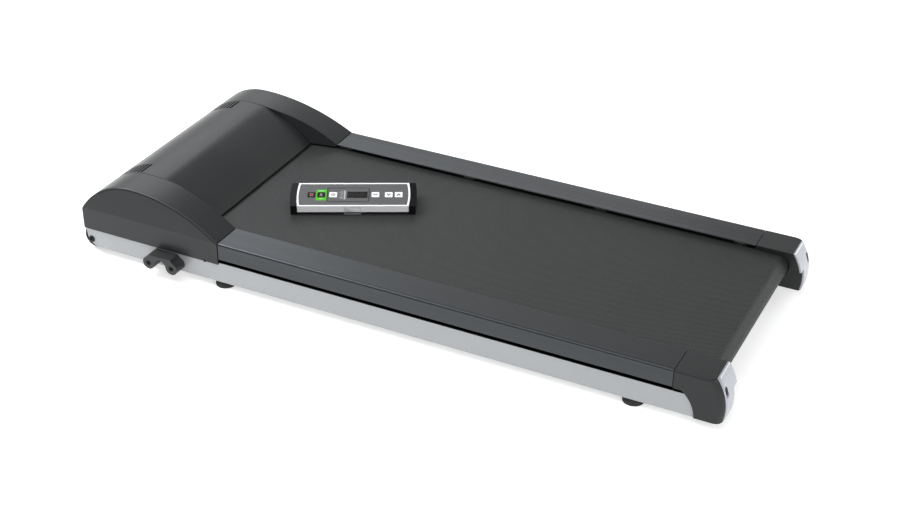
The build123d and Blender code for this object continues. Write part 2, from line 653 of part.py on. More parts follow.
def rail_clips():
    """Moulded clips that stand on the deck and carry the foot rails."""
    clips = []
    for x in spaced(RAIL_FRONT_X + CLIP_FRONT_GAP, RAIL_REAR_X - CLIP_REAR_GAP, CLIP_COUNT):
        for side in (-1, 1):
            y0 = CLIP_INNER_Y
            clip = block(x - CLIP_LENGTH / 2, x + CLIP_LENGTH / 2, y0, y0 + CLIP_WIDTH,
                         DECK_TOP_Z, DECK_TOP_Z + CLIP_FOOT_HEIGHT)
            clip += block(x - CLIP_CREST_LENGTH / 2, x + CLIP_CREST_LENGTH / 2, y0, y0 + CLIP_WIDTH,
                          DECK_TOP_Z, RAIL_BOTTOM_Z)
            clips.append(clip if side == 1 else other_side(clip))
    return Compound(children=clips)


def foot_rail():
    """Right hand foot rail, an extruded angle with a grooved tread."""
    skirt_bottom_z = RAIL_TOP_Z - RAIL_SKIRT
    corners = Polyline(
        (COVER_HALF_WIDTH, skirt_bottom_z),
        (COVER_HALF_WIDTH, RAIL_TOP_Z),
        (RAIL_INNER_Y, RAIL_TOP_Z),
        (RAIL_INNER_Y, RAIL_BOTTOM_Z),
        (COVER_HALF_WIDTH - RAIL_SKIRT_WALL, RAIL_BOTTOM_Z),
        (COVER_HALF_WIDTH - RAIL_SKIRT_WALL, skirt_bottom_z),
        close=True,
    )
    section = make_face(corners)
    outer_corner = section.vertices().sort_by_distance((COVER_HALF_WIDTH, RAIL_TOP_Z))[0]
    section = fillet(outer_corner, RAIL_EDGE_RADIUS)
    for lip_z in (RAIL_TOP_Z, RAIL_BOTTOM_Z):
        lip_corner = section.vertices().sort_by_distance((RAIL_INNER_Y, lip_z))[0]
        section = fillet(lip_corner, RAIL_LIP_RADIUS)
    for index in range(RAIL_GROOVES):
        groove_y = RAIL_INNER_Y + RAIL_GROOVE_INSET + index * RAIL_GROOVE_PITCH
        groove = Rectangle(RAIL_GROOVE_WIDTH, 2 * RAIL_GROOVE_DEPTH)
        section -= Pos(groove_y, RAIL_TOP_Z) * groove
    return extrude_x(section, RAIL_FRONT_X, RAIL_REAR_X)


def walking_belt():
    """Endless walking belt round both rollers."""
    spread = REAR_ROLLER_X - FRONT_ROLLER_X
    loop = SlotCenterToCenter(spread, 2 * BELT_OUTER_RADIUS)
    loop -= SlotCenterToCenter(spread, 2 * BELT_INNER_RADIUS)
    middle_x = (REAR_ROLLER_X + FRONT_ROLLER_X) / 2
    return extrude_y(Pos(middle_x, AXLE_Z) * loop, -BELT_HALF_WIDTH, BELT_HALF_WIDTH)


def roller_drum(x):
    """Steel tube with plugged ends, bored for a bearing at each end."""
    drum = rod_y(DRUM_RADIUS, -DRUM_HALF_LENGTH, DRUM_HALF_LENGTH, x, AXLE_Z)
    plug_inner_y = DRUM_HALF_LENGTH - DRUM_PLUG_LENGTH
    drum -= rod_y(DRUM_RADIUS - DRUM_WALL, -plug_inner_y, plug_inner_y, x, AXLE_Z)
    drum -= bore_y(AXLE_RADIUS + AXLE_BORE_CLEARANCE, -DRUM_HALF_LENGTH, DRUM_HALF_LENGTH, x, AXLE_Z)
    seat_inner_y = DRUM_HALF_LENGTH - BEARING_INSET - BEARING_WIDTH
    for side in (-1, 1):
        ends = sorted((side * seat_inner_y, side * (DRUM_HALF_LENGTH + CUT_OVERRUN)))
        drum -= rod_y(BEARING_RADIUS, ends[0], ends[1], x, AXLE_Z)
    return drum


def roller_bearings(x):
    """Ball bearings at both ends of a drum."""
    rings = []
    for side in (-1, 1):
        inner_y = DRUM_HALF_LENGTH - BEARING_INSET - BEARING_WIDTH
        ends = sorted((side * inner_y, side * (inner_y + BEARING_WIDTH)))
        ring = rod_y(BEARING_RADIUS - SHAFT_CLEARANCE, ends[0], ends[1], x, AXLE_Z)
        ring -= bore_y(AXLE_RADIUS + SHAFT_CLEARANCE, ends[0], ends[1], x, AXLE_Z)
        rings.append(ring)
    return Compound(children=rings)


def front_axle():
    """Fixed axle of the front roller."""
    return rod_y(AXLE_RADIUS, -FRONT_AXLE_HALF_LENGTH, FRONT_AXLE_HALF_LENGTH, FRONT_ROLLER_X, AXLE_Z)


def rear_axle():
    """Fixed axle of the rear roller, cross bored for the tension bolts."""
    axle = rod_y(AXLE_RADIUS, -REAR_AXLE_HALF_LENGTH, REAR_AXLE_HALF_LENGTH, REAR_ROLLER_X, AXLE_Z)
    for side in (-1, 1):
        axle -= rod_x(TENSION_BOLT_RADIUS + SHAFT_CLEARANCE, REAR_ROLLER_X - 2 * AXLE_RADIUS,
                      REAR_ROLLER_X + 2 * AXLE_RADIUS, side * TENSION_BOLT_Y, AXLE_Z)
    return axle


def tension_bolt():
    """Right hand belt tension bolt with a hexagon socket in its head."""
    head_front_x = REAR_BRACKET_REAR_X + HOLE_CLEARANCE
    head_rear_x = head_front_x + TENSION_BOLT_HEAD
    bolt = rod_x(TENSION_BOLT_RADIUS, TENSION_BOLT_FRONT_X, head_front_x, TENSION_BOLT_Y, AXLE_Z)
    bolt += rod_x(TENSION_BOLT_HEAD_RADIUS, head_front_x, head_rear_x, TENSION_BOLT_Y, AXLE_Z)
    socket = Rot(0, 90, 0) * hexagon_prism(TENSION_SOCKET_RADIUS, TENSION_SOCKET_DEPTH + CUT_OVERRUN)
    bolt -= Pos(head_rear_x - TENSION_SOCKET_DEPTH, TENSION_BOLT_Y, AXLE_Z) * socket
    return bolt


def grooved_pulley(radius, x, z):
    """Ribbed pulley rim between the two pulley faces."""
    rim = rod_y(radius, PULLEY_INNER_Y, PULLEY_OUTER_Y, x, z)
    middle_y = (PULLEY_INNER_Y + PULLEY_OUTER_Y) / 2
    for index in range(GROOVE_COUNT):
        groove_y = middle_y + (index - (GROOVE_COUNT - 1) / 2) * GROOVE_PITCH
        vee = make_face(Polyline(
            (radius + GROOVE_OVERRUN, groove_y - GROOVE_PITCH / 2),
            (radius - GROOVE_DEPTH, groove_y),
            (radius + GROOVE_OVERRUN, groove_y + GROOVE_PITCH / 2),
            close=True,
        ))
        rim -= Pos(x, 0, z) * revolve(vee, Axis.Y)
    return rim


def roller_pulley():
    """Driven pulley on the end of the front roller."""
    pulley = grooved_pulley(ROLLER_PULLEY_RADIUS, FRONT_ROLLER_X, AXLE_Z)
    pulley += rod_y(ROLLER_PULLEY_HUB_RADIUS, DRUM_HALF_LENGTH, PULLEY_INNER_Y, FRONT_ROLLER_X, AXLE_Z)
    pulley -= bore_y(AXLE_RADIUS + AXLE_BORE_CLEARANCE, DRUM_HALF_LENGTH, PULLEY_OUTER_Y,
                     FRONT_ROLLER_X, AXLE_Z)
    return pulley


def motor_pulley():
    """Drive pulley with its flywheel on the motor shaft."""
    flywheel_start_y = MOTOR_END_Y + FLYWHEEL_GAP
    flywheel_end_y = flywheel_start_y + FLYWHEEL_WIDTH
    pulley = grooved_pulley(MOTOR_PULLEY_RADIUS, MOTOR_X, MOTOR_Z)
    pulley += rod_y(FLYWHEEL_RADIUS, flywheel_start_y, flywheel_end_y, MOTOR_X, MOTOR_Z)
    pulley += rod_y(MOTOR_PULLEY_RADIUS, flywheel_end_y, PULLEY_INNER_Y, MOTOR_X, MOTOR_Z)
    pulley -= bore_y(MOTOR_SHAFT_RADIUS + SHAFT_CLEARANCE, MOTOR_END_Y, PULLEY_OUTER_Y, MOTOR_X, MOTOR_Z)
    return pulley


def motor_case():
    """Round motor case with vented end bells."""
    case = rod_y(MOTOR_RADIUS, MOTOR_START_Y, MOTOR_END_Y, MOTOR_X, MOTOR_Z)
    case -= rod_y(MOTOR_RADIUS - MOTOR_WALL, MOTOR_START_Y + MOTOR_END_BELL, MOTOR_END_Y - MOTOR_END_BELL,
                  MOTOR_X, MOTOR_Z)
    case -= bore_y(MOTOR_SHAFT_RADIUS + SHAFT_CLEARANCE, MOTOR_START_Y, MOTOR_END_Y, MOTOR_X, MOTOR_Z)
    vent_reach = (MOTOR_RADIUS + MOTOR_SHAFT_RADIUS) / 2
    for index in range(MOTOR_VENTS):
        angle = radians(index * 360 / MOTOR_VENTS)
        vent_x = MOTOR_X + vent_reach * cos(angle)
        vent_z = MOTOR_Z + vent_reach * sin(angle)
        case -= bore_y(MOTOR_VENT_RADIUS, MOTOR_START_Y, MOTOR_END_Y, vent_x, vent_z)
    return case


def motor_shaft():
    """Armature on its shaft."""
    shaft = rod_y(MOTOR_SHAFT_RADIUS, MOTOR_START_Y - MOTOR_SHAFT_TAIL, PULLEY_OUTER_Y, MOTOR_X, MOTOR_Z)
    start_y = MOTOR_START_Y + MOTOR_END_BELL + ARMATURE_END_GAP
    end_y = MOTOR_END_Y - MOTOR_END_BELL - ARMATURE_END_GAP
    return shaft + rod_y(ARMATURE_RADIUS, start_y, end_y, MOTOR_X, MOTOR_Z)


def cradle_span():
    """Front and rear edge of what stands on the two front cross members."""
    return CRADLE_FRONT_TUBE_X - TUBE_WIDTH / 2, CRADLE_REAR_TUBE_X + TUBE_WIDTH / 2


def motor_cradle():
    """Plate across two cross members with two saddles under the motor."""
    front_x, rear_x = cradle_span()
    plate_top_z = TUBE_TOP_Z + CRADLE_PLATE
    cradle = block(front_x, rear_x, MOTOR_START_Y, MOTOR_END_Y, TUBE_TOP_Z, plate_top_z)
    saddle_top_z = plate_top_z + CRADLE_SADDLE_HEIGHT
    first_y = MOTOR_START_Y + CRADLE_SADDLE_INSET
    last_y = MOTOR_END_Y - CRADLE_SADDLE_INSET - CRADLE_SADDLE_WIDTH
    for saddle_y in (first_y, last_y):
        cradle += block(MOTOR_X - MOTOR_RADIUS, MOTOR_X + MOTOR_RADIUS, saddle_y,
                        saddle_y + CRADLE_SADDLE_WIDTH, TUBE_TOP_Z, saddle_top_z)
    return cradle - bore_y(MOTOR_RADIUS + CRADLE_CLEARANCE, MOTOR_START_Y, MOTOR_END_Y, MOTOR_X, MOTOR_Z)


def belt_loop(extra):
    """Outline round both pulleys, standing off their rims."""
    small = MOTOR_PULLEY_RADIUS + extra
    large = ROLLER_PULLEY_RADIUS + extra
    edges = (Pos(MOTOR_X, MOTOR_Z) * Circle(small)).edges()
    edges += (Pos(FRONT_ROLLER_X, AXLE_Z) * Circle(large)).edges()
    return make_hull(edges)


def drive_belt():
    """Ribbed belt from the motor pulley to the roller pulley."""
    loop = belt_loop(RUN_CLEARANCE + DRIVE_BELT_THICKNESS) - belt_loop(RUN_CLEARANCE)
    middle_y = (PULLEY_INNER_Y + PULLEY_OUTER_Y) / 2
    return extrude_y(loop, middle_y - DRIVE_BELT_WIDTH / 2, middle_y + DRIVE_BELT_WIDTH / 2)


def heat_sink():
    """Finned aluminium plate with standoffs for the controller board."""
    front_x, rear_x = cradle_span()
    end_y = SINK_START_Y + SINK_LENGTH
    base_top_z = TUBE_TOP_Z + SINK_BASE
    sink = block(front_x, rear_x, SINK_START_Y, end_y, TUBE_TOP_Z, base_top_z)
    for index in range(SINK_FINS):
        fin_y = SINK_START_Y + index * SINK_FIN_PITCH
        sink += block(front_x, rear_x, fin_y, fin_y + SINK_FIN_WALL,
                      TUBE_TOP_Z, base_top_z + SINK_FIN_HEIGHT)
    for x, y in standoff_places():
        sink += rod_z(BOARD_STANDOFF_RADIUS, base_top_z, base_top_z + BOARD_STANDOFF, x, y)
    return sink


def board_span():
    """Edges of the controller board over the bare part of the heat sink."""
    front_x, rear_x = cradle_span()
    start_y = SINK_START_Y + SINK_FINS * SINK_FIN_PITCH
    end_y = SINK_START_Y + SINK_LENGTH
    return front_x, rear_x, start_y, end_y


def standoff_places():
    """Centres of the four board standoffs."""
    front_x, rear_x, start_y, end_y = board_span()
    inset = BOARD_MARGIN + BOARD_STANDOFF_RADIUS
    return [(x, y) for x in (front_x + inset, rear_x - inset) for y in (start_y + inset, end_y - inset)]


def controller_board():
    """Motor controller with its capacitors and relay."""
    front_x, rear_x, start_y, end_y = board_span()
    bottom_z = TUBE_TOP_Z + SINK_BASE + BOARD_STANDOFF
    top_z = bottom_z + BOARD_THICKNESS
    board = block(front_x + BOARD_MARGIN, rear_x - BOARD_MARGIN, start_y + BOARD_MARGIN,
                  end_y - BOARD_MARGIN, bottom_z, top_z)
    middle_x = (front_x + rear_x) / 2
    middle_y = (start_y + end_y) / 2
    for side in (-1, 1):
        board += rod_z(CAPACITOR_RADIUS, top_z, top_z + CAPACITOR_HEIGHT, middle_x - CAPACITOR_OFFSET,
                       middle_y + side * CAPACITOR_SPACING / 2)
    relay_x = middle_x + RELAY_OFFSET
    board += block(relay_x, relay_x + RELAY_LENGTH, middle_y - RELAY_WIDTH / 2,
                   middle_y + RELAY_WIDTH / 2, top_z, top_z + RELAY_HEIGHT)
    return board


def speed_sensor():
    """Pick-up beside the roller pulley, screwed on the drive side bracket."""
    bottom_z = FRAME_TOP_Z + BRACKET_HEIGHT
    return block(FRONT_ROLLER_X - SENSOR_LENGTH / 2, FRONT_ROLLER_X + SENSOR_LENGTH / 2,
                 PULLEY_OUTER_Y + SENSOR_PULLEY_GAP, FRONT_BRACKET_Y + FRONT_BRACKET_PLATE,
                 bottom_z, bottom_z + SENSOR_HEIGHT)


def rocker_axis():
    """X and Y of the rocker's pivot, which runs along Y at the inlet's height."""
    pivot_x = PAN_FRONT_X - INLET_FLANGE - ROCKER_PROUD + ROCKER_RADIUS
    return pivot_x, INLET_Y + ROCKER_OFFSET_Y


def power_inlet():
    """Mains inlet and switch frame, snapped into the front panel."""
    face_x = PAN_FRONT_X - INLET_FLANGE
    half_width = INLET_FLANGE_WIDTH / 2
    half_height = INLET_FLANGE_HEIGHT / 2
    inlet = block(face_x, PAN_FRONT_X, INLET_Y - half_width, INLET_Y + half_width,
                  INLET_Z - half_height, INLET_Z + half_height)
    body_half_width = half_width - INLET_BODY_MARGIN
    body_half_height = half_height - INLET_BODY_MARGIN
    inlet += block(PAN_FRONT_X, PAN_FRONT_X + INLET_BODY_DEPTH, INLET_Y - body_half_width,
                   INLET_Y + body_half_width, INLET_Z - body_half_height, INLET_Z + body_half_height)
    socket_y = INLET_Y + SOCKET_OFFSET_Y
    inlet -= block(face_x - CUT_OVERRUN, face_x + SOCKET_DEPTH, socket_y - SOCKET_WIDTH / 2,
                   socket_y + SOCKET_WIDTH / 2, INLET_Z - SOCKET_HEIGHT / 2, INLET_Z + SOCKET_HEIGHT / 2)
    pivot_x, rocker_y = rocker_axis()
    half_rocker = ROCKER_WIDTH / 2 + HOLE_CLEARANCE
    inlet -= rod_y(ROCKER_RADIUS + HOLE_CLEARANCE, rocker_y - half_rocker, rocker_y + half_rocker,
                   pivot_x, INLET_Z)
    return inlet


def power_rocker():
    """Rocker of the mains switch, a drum sector with a hollowed face."""
    pivot_x, rocker_y = rocker_axis()
    start_y = rocker_y - ROCKER_WIDTH / 2
    end_y = rocker_y + ROCKER_WIDTH / 2
    rocker = rod_y(ROCKER_RADIUS, start_y, end_y, pivot_x, INLET_Z)
    hollow_x = pivot_x - ROCKER_HOLLOW_RADIUS - ROCKER_RADIUS + ROCKER_PROUD
    return rocker - bore_y(ROCKER_HOLLOW_RADIUS, start_y, end_y, hollow_x, INLET_Z)


def hood_profile(inset, bottom_z):
    """Side view of a cheek, drawn inset from its outer face."""
    front_x = HOOD_FRONT_X + inset
    rear_x = HOOD_REAR_X - inset
    shoulder_z = RAIL_TOP_Z - inset
    crest = (HOOD_CREST_X, HOOD_CREST_Z - inset)
    front_arc = TangentArc(crest, (front_x, shoulder_z), tangent=(-1, 0))
    rear_arc = TangentArc(crest, (rear_x, shoulder_z), tangent=(1, 0))
    base = Polyline((front_x, shoulder_z), (front_x, bottom_z), (rear_x, bottom_z), (rear_x, shoulder_z))
    return make_face([front_arc, rear_arc, base])


def panel_profile(inset, bottom_z):
    """Side view of the middle panel, which drops to the belt behind the crest."""
    front_x = HOOD_FRONT_X + inset
    shoulder_z = RAIL_TOP_Z - inset
    crest = (HOOD_CREST_X, HOOD_CREST_Z - inset)
    break_point = (PANEL_BREAK_X - PANEL_BREAK_MITRE * inset, HOOD_CREST_Z - PANEL_BREAK_DROP - inset)
    tip = (PANEL_REAR_X - PANEL_TIP_MITRE * inset, BELT_TOP_Z + PANEL_BELT_GAP)
    front_arc = TangentArc(crest, (front_x, shoulder_z), tangent=(-1, 0))
    top_arc = TangentArc(crest, break_point, tangent=(1, 0))
    drop_arc = RadiusArc(break_point, tip, PANEL_DROP_RADIUS)
    base = Polyline((front_x, shoulder_z), (front_x, bottom_z), (tip[0], bottom_z), tip)
    return make_face([front_arc, top_arc, drop_arc, base])


def lean_cutter(inset):
    """Wedge that leans the upper part of a cheek's side wall inwards."""
    wall_y = COVER_HALF_WIDTH - inset
    height = 2 * HOOD_CREST_RISE
    run = height * tan(radians(HOOD_SIDE_LEAN))
    wedge = make_face(Polyline(
        (wall_y, RAIL_TOP_Z),
        (wall_y + COVER_HALF_WIDTH, RAIL_TOP_Z),
        (wall_y + COVER_HALF_WIDTH, RAIL_TOP_Z + height),
        (wall_y - run, RAIL_TOP_Z + height),
        close=True,
    ))
    return extrude_x(wedge, HOOD_FRONT_X - CUT_OVERRUN, HOOD_REAR_X + CUT_OVERRUN)


def facet_cutter(inset):
    """Half space inside the flat facet between a cheek and the middle panel."""
    normal = Vector(-FACET_SLOPE_X, 1, -FACET_SLOPE_Z)
    on_facet = Vector(RAIL_FRONT_X, RAIL_INNER_Y, RAIL_TOP_Z) + normal.normalized() * inset
    facet = Plane(origin=on_facet, z_dir=normal)
    reach = 4 * HOOD_CREST_RISE + (HOOD_REAR_X - HOOD_FRONT_X)
    return facet * Pos(0, 0, -reach / 2) * Box(2 * reach, 2 * reach, reach)


def cheek_form(inset, inner_y, bottom_z):
    """Solid form of the right hand cheek, drawn inset from its outer face."""
    form = extrude_y(hood_profile(inset, bottom_z), inner_y, COVER_HALF_WIDTH - inset)
    return form - lean_cutter(inset) - facet_cutter(inset)


def hood_cheek():
    """Right hand cheek of the motor hood."""
    inner_y = SEAM_Y + SEAM_GAP / 2
    outer = cheek_form(0, inner_y, HOOD_BOTTOM_Z)
    rim = outer.edges().filter_by(lambda e: e.geom_type != GeomType.LINE)
    rim = rim.filter_by(lambda e: e.center().Y > inner_y + (COVER_HALF_WIDTH - inner_y) / 2)
    outer = fillet(rim, HOOD_EDGE_RADIUS)
    cheek = outer - cheek_form(HOOD_WALL, inner_y - LIP_REACH, HOOD_BOTTOM_Z - CUT_OVERRUN)

    lip = panel_profile(HOOD_WALL + LIP_CLEARANCE, HOOD_BOTTOM_Z)
    lip_inner = panel_profile(HOOD_WALL + LIP_CLEARANCE + LIP_WALL, HOOD_BOTTOM_Z - CUT_OVERRUN)
    strip = extrude_y(lip - lip_inner, SEAM_Y - LIP_REACH, inner_y + LIP_WALL)
    root = hood_profile(HOOD_WALL / 2, HOOD_BOTTOM_Z) - lip_inner
    strip += extrude_y(root, inner_y, inner_y + LIP_WALL)
    cheek += strip - facet_cutter(0)

    for setback in HOOD_RIB_SETBACKS:
        rib_x = HOOD_FRONT_X + setback
        cheek += block(rib_x, rib_x + HOOD_WALL, COVER_HALF_WIDTH - HOOD_RIB_DEPTH,
                       COVER_HALF_WIDTH - HOOD_WALL / 2, FRAME_TOP_Z, FRAME_TOP_Z + HOOD_RIB_HEIGHT)
    deck_room_y = DECK_HALF_WIDTH + HOLE_CLEARANCE
    rear_x = HOOD_REAR_X + CUT_OVERRUN
    bottom_z = HOOD_BOTTOM_Z - CUT_OVERRUN
    cheek -= block(DECK_FRONT_X - HOOD_DECK_CLEARANCE, rear_x, 0, deck_room_y,
                   bottom_z, BELT_TOP_Z + PANEL_BELT_GAP)
    cheek -= block(HOOD_FRONT_X - CUT_OVERRUN, rear_x, FLANGE_INNER_Y - COVER_FRAME_GAP,
                   WEB_Y + COVER_FRAME_GAP, bottom_z, FRAME_TOP_Z)
    return cheek - bore_y(HOOD_NOTCH_RADIUS, WEB_Y, COVER_HALF_WIDTH, HOOD_SCREW_X, HOOD_BOTTOM_Z)


def vent_centers():
    """Turn of each vent slot about the centre of the hood's front arc."""
    run = HOOD_CREST_X - HOOD_FRONT_X
    arc_radius = (run ** 2 + HOOD_CREST_RISE ** 2) / (2 * HOOD_CREST_RISE)
    first = degrees(asin(-VENT_FIRST_OFFSET_X / arc_radius))
    step = degrees(VENT_PITCH / arc_radius)
    return arc_radius, [-(first + index * step) for index in range(VENT_SLOTS)]


def hood_center_panel():
    """Middle panel of the motor hood with two groups of vent slots."""
    half_width = SEAM_Y - SEAM_GAP / 2
    outer = panel_profile(0, HOOD_BOTTOM_Z)
    bottom_z = HOOD_BOTTOM_Z - CUT_OVERRUN
    inner = panel_profile(HOOD_WALL, bottom_z)
    panel = extrude_y(outer - inner, -half_width, half_width)
    panel -= block(DECK_FRONT_X - HOOD_DECK_CLEARANCE, PANEL_REAR_X + CUT_OVERRUN, -SEAM_Y, SEAM_Y,
                   bottom_z, BELT_TOP_Z + PANEL_BELT_GAP)
    arc_radius, turns = vent_centers()
    slots = []
    for turn in turns:
        for side in (-1, 1):
            center = Pos(HOOD_CREST_X, side * VENT_CENTER_Y, HOOD_CREST_Z - arc_radius)
            slots.append(center * Rot(0, turn, 0) * Pos(0, 0, arc_radius)
                         * Box(VENT_WIDTH, VENT_LENGTH, 4 * HOOD_WALL))
    return panel - slots


def hood_screws():
    """Pan headed screws in the notches of the cheeks' lower edges."""
    screw = rod_y(HOOD_SCREW_RADIUS, WEB_Y - HOOD_SCREW_LENGTH, WEB_Y, HOOD_SCREW_X, HOOD_BOTTOM_Z)
    screw += rod_y(HOOD_SCREW_HEAD_RADIUS, WEB_Y, WEB_Y + HOOD_SCREW_HEAD, HOOD_SCREW_X, HOOD_BOTTOM_Z)
    return Compound(children=[screw, other_side(screw)])


def cap_outline(shift):
    """Side view of a rear cap, with its bulged rear face moved forwards by shift."""
    rise = RAIL_TOP_Z - CAP_BULGE_Z
    run = CAP_BULGE_X - CAP_TOP_REAR_X
    radius = (rise ** 2 + run ** 2) / (2 * run)
    bottom_rear_x = CAP_BULGE_X - radius + sqrt(radius ** 2 - CAP_BULGE_RISE ** 2) - shift
    top_rear_x = CAP_TOP_REAR_X - shift
    bottom_front_x = FRAME_REAR_X + CAP_JOINT_GAP
    rear_arc = ThreePointArc((bottom_rear_x, FRAME_BOTTOM_Z), (CAP_BULGE_X - shift, CAP_BULGE_Z),
                             (top_rear_x, RAIL_TOP_Z))
    front_arc = RadiusArc((CAP_STEP_X, CAP_STEP_Z), (bottom_front_x, FRAME_BOTTOM_Z), CAP_FRONT_ARC_RADIUS)
    top = Polyline((top_rear_x, RAIL_TOP_Z), (CAP_FRONT_X, RAIL_TOP_Z),
                   (CAP_FRONT_X, CAP_STEP_Z), (CAP_STEP_X, CAP_STEP_Z))
    floor = Line((bottom_front_x, FRAME_BOTTOM_Z), (bottom_rear_x, FRAME_BOTTOM_Z))
    return make_face([rear_arc, top, front_arc, floor])


def roller_gap(radius):
    """Side view of the room round the belt at the rear roller, open to the front."""
    gap = Pos(REAR_ROLLER_X, AXLE_Z) * Circle(radius)
    reach = REAR_ROLLER_X - CAP_FRONT_X + CUT_OVERRUN
    return gap + Pos(REAR_ROLLER_X - reach / 2, AXLE_Z) * Rectangle(reach, 2 * radius)


def rounded_corner(body, outer_y, radius):
    """A body drawn out along Y, with the rear edge of its face at outer_y rounded."""
    outer_edges = body.edges().filter_by(lambda e: abs(e.center().Y - outer_y) < SHAFT_CLEARANCE)
    return fillet(outer_edges.sort_by(Axis.X)[-1], radius)


def cap_form():
    """Outer form of the right hand rear cap, set back below the belt's turn."""
    form = extrude_y(cap_outline(0), RAIL_INNER_Y, COVER_HALF_WIDTH)
    form = rounded_corner(form, COVER_HALF_WIDTH, CAP_CORNER_RADIUS)
    top_edges = form.edges().filter_by(Axis.X).filter_by(lambda e: e.center().Z > RAIL_BOTTOM_Z)
    form = fillet(top_edges.sort_by(Axis.Y)[-1], CAP_EDGE_RADIUS)

    outline = cap_outline(0)
    heel = outline.vertices().sort_by_distance((CAP_BULGE_X, FRAME_BOTTOM_Z))[0]
    form &= extrude_y(fillet(heel, CAP_BOTTOM_RADIUS), RAIL_INNER_Y, COVER_HALF_WIDTH)

    recess = block(CAP_FRONT_X, CAP_BULGE_X + CUT_OVERRUN, RAIL_INNER_Y - CUT_OVERRUN, CAP_RECESS_Y,
                   FRAME_BOTTOM_Z - CUT_OVERRUN, CAP_RECESS_Z)
    rim_radius = BELT_OUTER_RADIUS + CAP_ROLLER_CLEARANCE + CAP_RIM_WIDTH
    recess -= extrude_y(roller_gap(rim_radius), RAIL_INNER_Y - CUT_OVERRUN, CAP_RECESS_Y)
    return form - recess


def plate_zone(form, depth, edge_gap):
    """Skin of the cap's rear face where the end plate lies, with room round its edges."""
    inner_y = RAIL_INNER_Y - CUT_OVERRUN
    behind = extrude_y(cap_outline(depth), inner_y, COVER_HALF_WIDTH + CUT_OVERRUN)
    zone = block(REAR_BRACKET_REAR_X, CAP_BULGE_X + CUT_OVERRUN, inner_y, PLATE_OUTER_Y + edge_gap,
                 FRAME_BOTTOM_Z + PLATE_BOTTOM_GAP - edge_gap, RAIL_TOP_Z + CUT_OVERRUN)
    return (form & zone) - behind


def tool_hole():
    """Oval access hole to the tension bolt."""
    oval = SlotOverall(TOOL_HOLE_HEIGHT, TOOL_HOLE_WIDTH, rotation=90)
    return extrude_x(Pos(TENSION_BOLT_Y, TOOL_HOLE_Z) * oval, REAR_BRACKET_REAR_X, CAP_BULGE_X + CUT_OVERRUN)


def cap_room():
    """Hollow of a rear cap, stepped over the set back part of its inner wall."""
    ceiling_z = RAIL_TOP_Z - COVER_WALL
    floor_z = FRAME_BOTTOM_Z + CAP_FLOOR
    inner_y = RAIL_INNER_Y + CAP_INNER_WALL
    outer_y = COVER_HALF_WIDTH - COVER_WALL
    outline = cap_outline(PLATE_THICKNESS + PLATE_GAP + CAP_REAR_WALL)
    outline &= Pos(0, (floor_z + ceiling_z) / 2) * Rectangle(3 * CAP_BULGE_X, ceiling_z - floor_z)
    room = rounded_corner(extrude_y(outline, inner_y, outer_y), outer_y, CAP_CORNER_RADIUS - COVER_WALL)
    room += block(CAP_FRONT_X - CUT_OVERRUN, FRAME_REAR_X + CAP_JOINT_GAP + CUT_OVERRUN, inner_y, outer_y,
                  FRAME_BOTTOM_Z - CUT_OVERRUN, ceiling_z)
    return room - block(CAP_FRONT_X - 2 * CUT_OVERRUN, CAP_BULGE_X, 0, CAP_RECESS_Y + CAP_INNER_WALL,
                        0, CAP_RECESS_Z + CAP_FLOOR)


def rear_cap():
    """Right hand rear cap over the roller end."""
    form = cap_form()
    cap = form - plate_zone(form, PLATE_THICKNESS + PLATE_GAP, PLATE_GAP)
    gap_radius = BELT_OUTER_RADIUS + CAP_ROLLER_CLEARANCE
    rim_start_y = RAIL_INNER_Y - CAP_RIM_PROUD
    rim = extrude_y(roller_gap(gap_radius + CAP_RIM_WIDTH) & cap_outline(0), rim_start_y, RAIL_INNER_Y)
    cap += rim & block(CAP_STEP_X, CAP_BULGE_X, rim_start_y, RAIL_INNER_Y,
                       FRAME_BOTTOM_Z, RAIL_TOP_Z - CAP_RIM_TOP_GAP)
    cap -= cap_room()
    cap -= extrude_y(roller_gap(gap_radius), rim_start_y - CUT_OVERRUN,
                     CAP_RECESS_Y + CAP_INNER_WALL + CUT_OVERRUN)
    return cap - tool_hole()


def rear_plate():
    """Right hand silver end plate with the tool hole."""
    return plate_zone(cap_form(), PLATE_THICKNESS, 0) - tool_hole()


def wheel_faces():
    """Inner and outer Y of the right hand transport wheel."""
    outer_y = WEB_INNER_Y - WHEEL_WEB_GAP
    return outer_y - WHEEL_WIDTH, outer_y


def transport_wheel():
    """Right hand transport wheel with a dished hub."""
    inner_y, outer_y = wheel_faces()
    wheel = rod_y(WHEEL_RADIUS, inner_y, outer_y, WHEEL_X, WHEEL_Z)
    wheel = chamfer(wheel.edges(), WHEEL_TREAD_BEVEL)
    for start_y, end_y in ((inner_y, inner_y + WHEEL_DISH_DEPTH), (outer_y - WHEEL_DISH_DEPTH, outer_y)):
        dish = rod_y(WHEEL_RADIUS - WHEEL_RIM_WALL, start_y, end_y, WHEEL_X, WHEEL_Z)
        wheel -= dish - rod_y(WHEEL_HUB_RADIUS, start_y, end_y, WHEEL_X, WHEEL_Z)
    return wheel - bore_y(WHEEL_BOLT_RADIUS + SHAFT_CLEARANCE, inner_y, outer_y, WHEEL_X, WHEEL_Z)


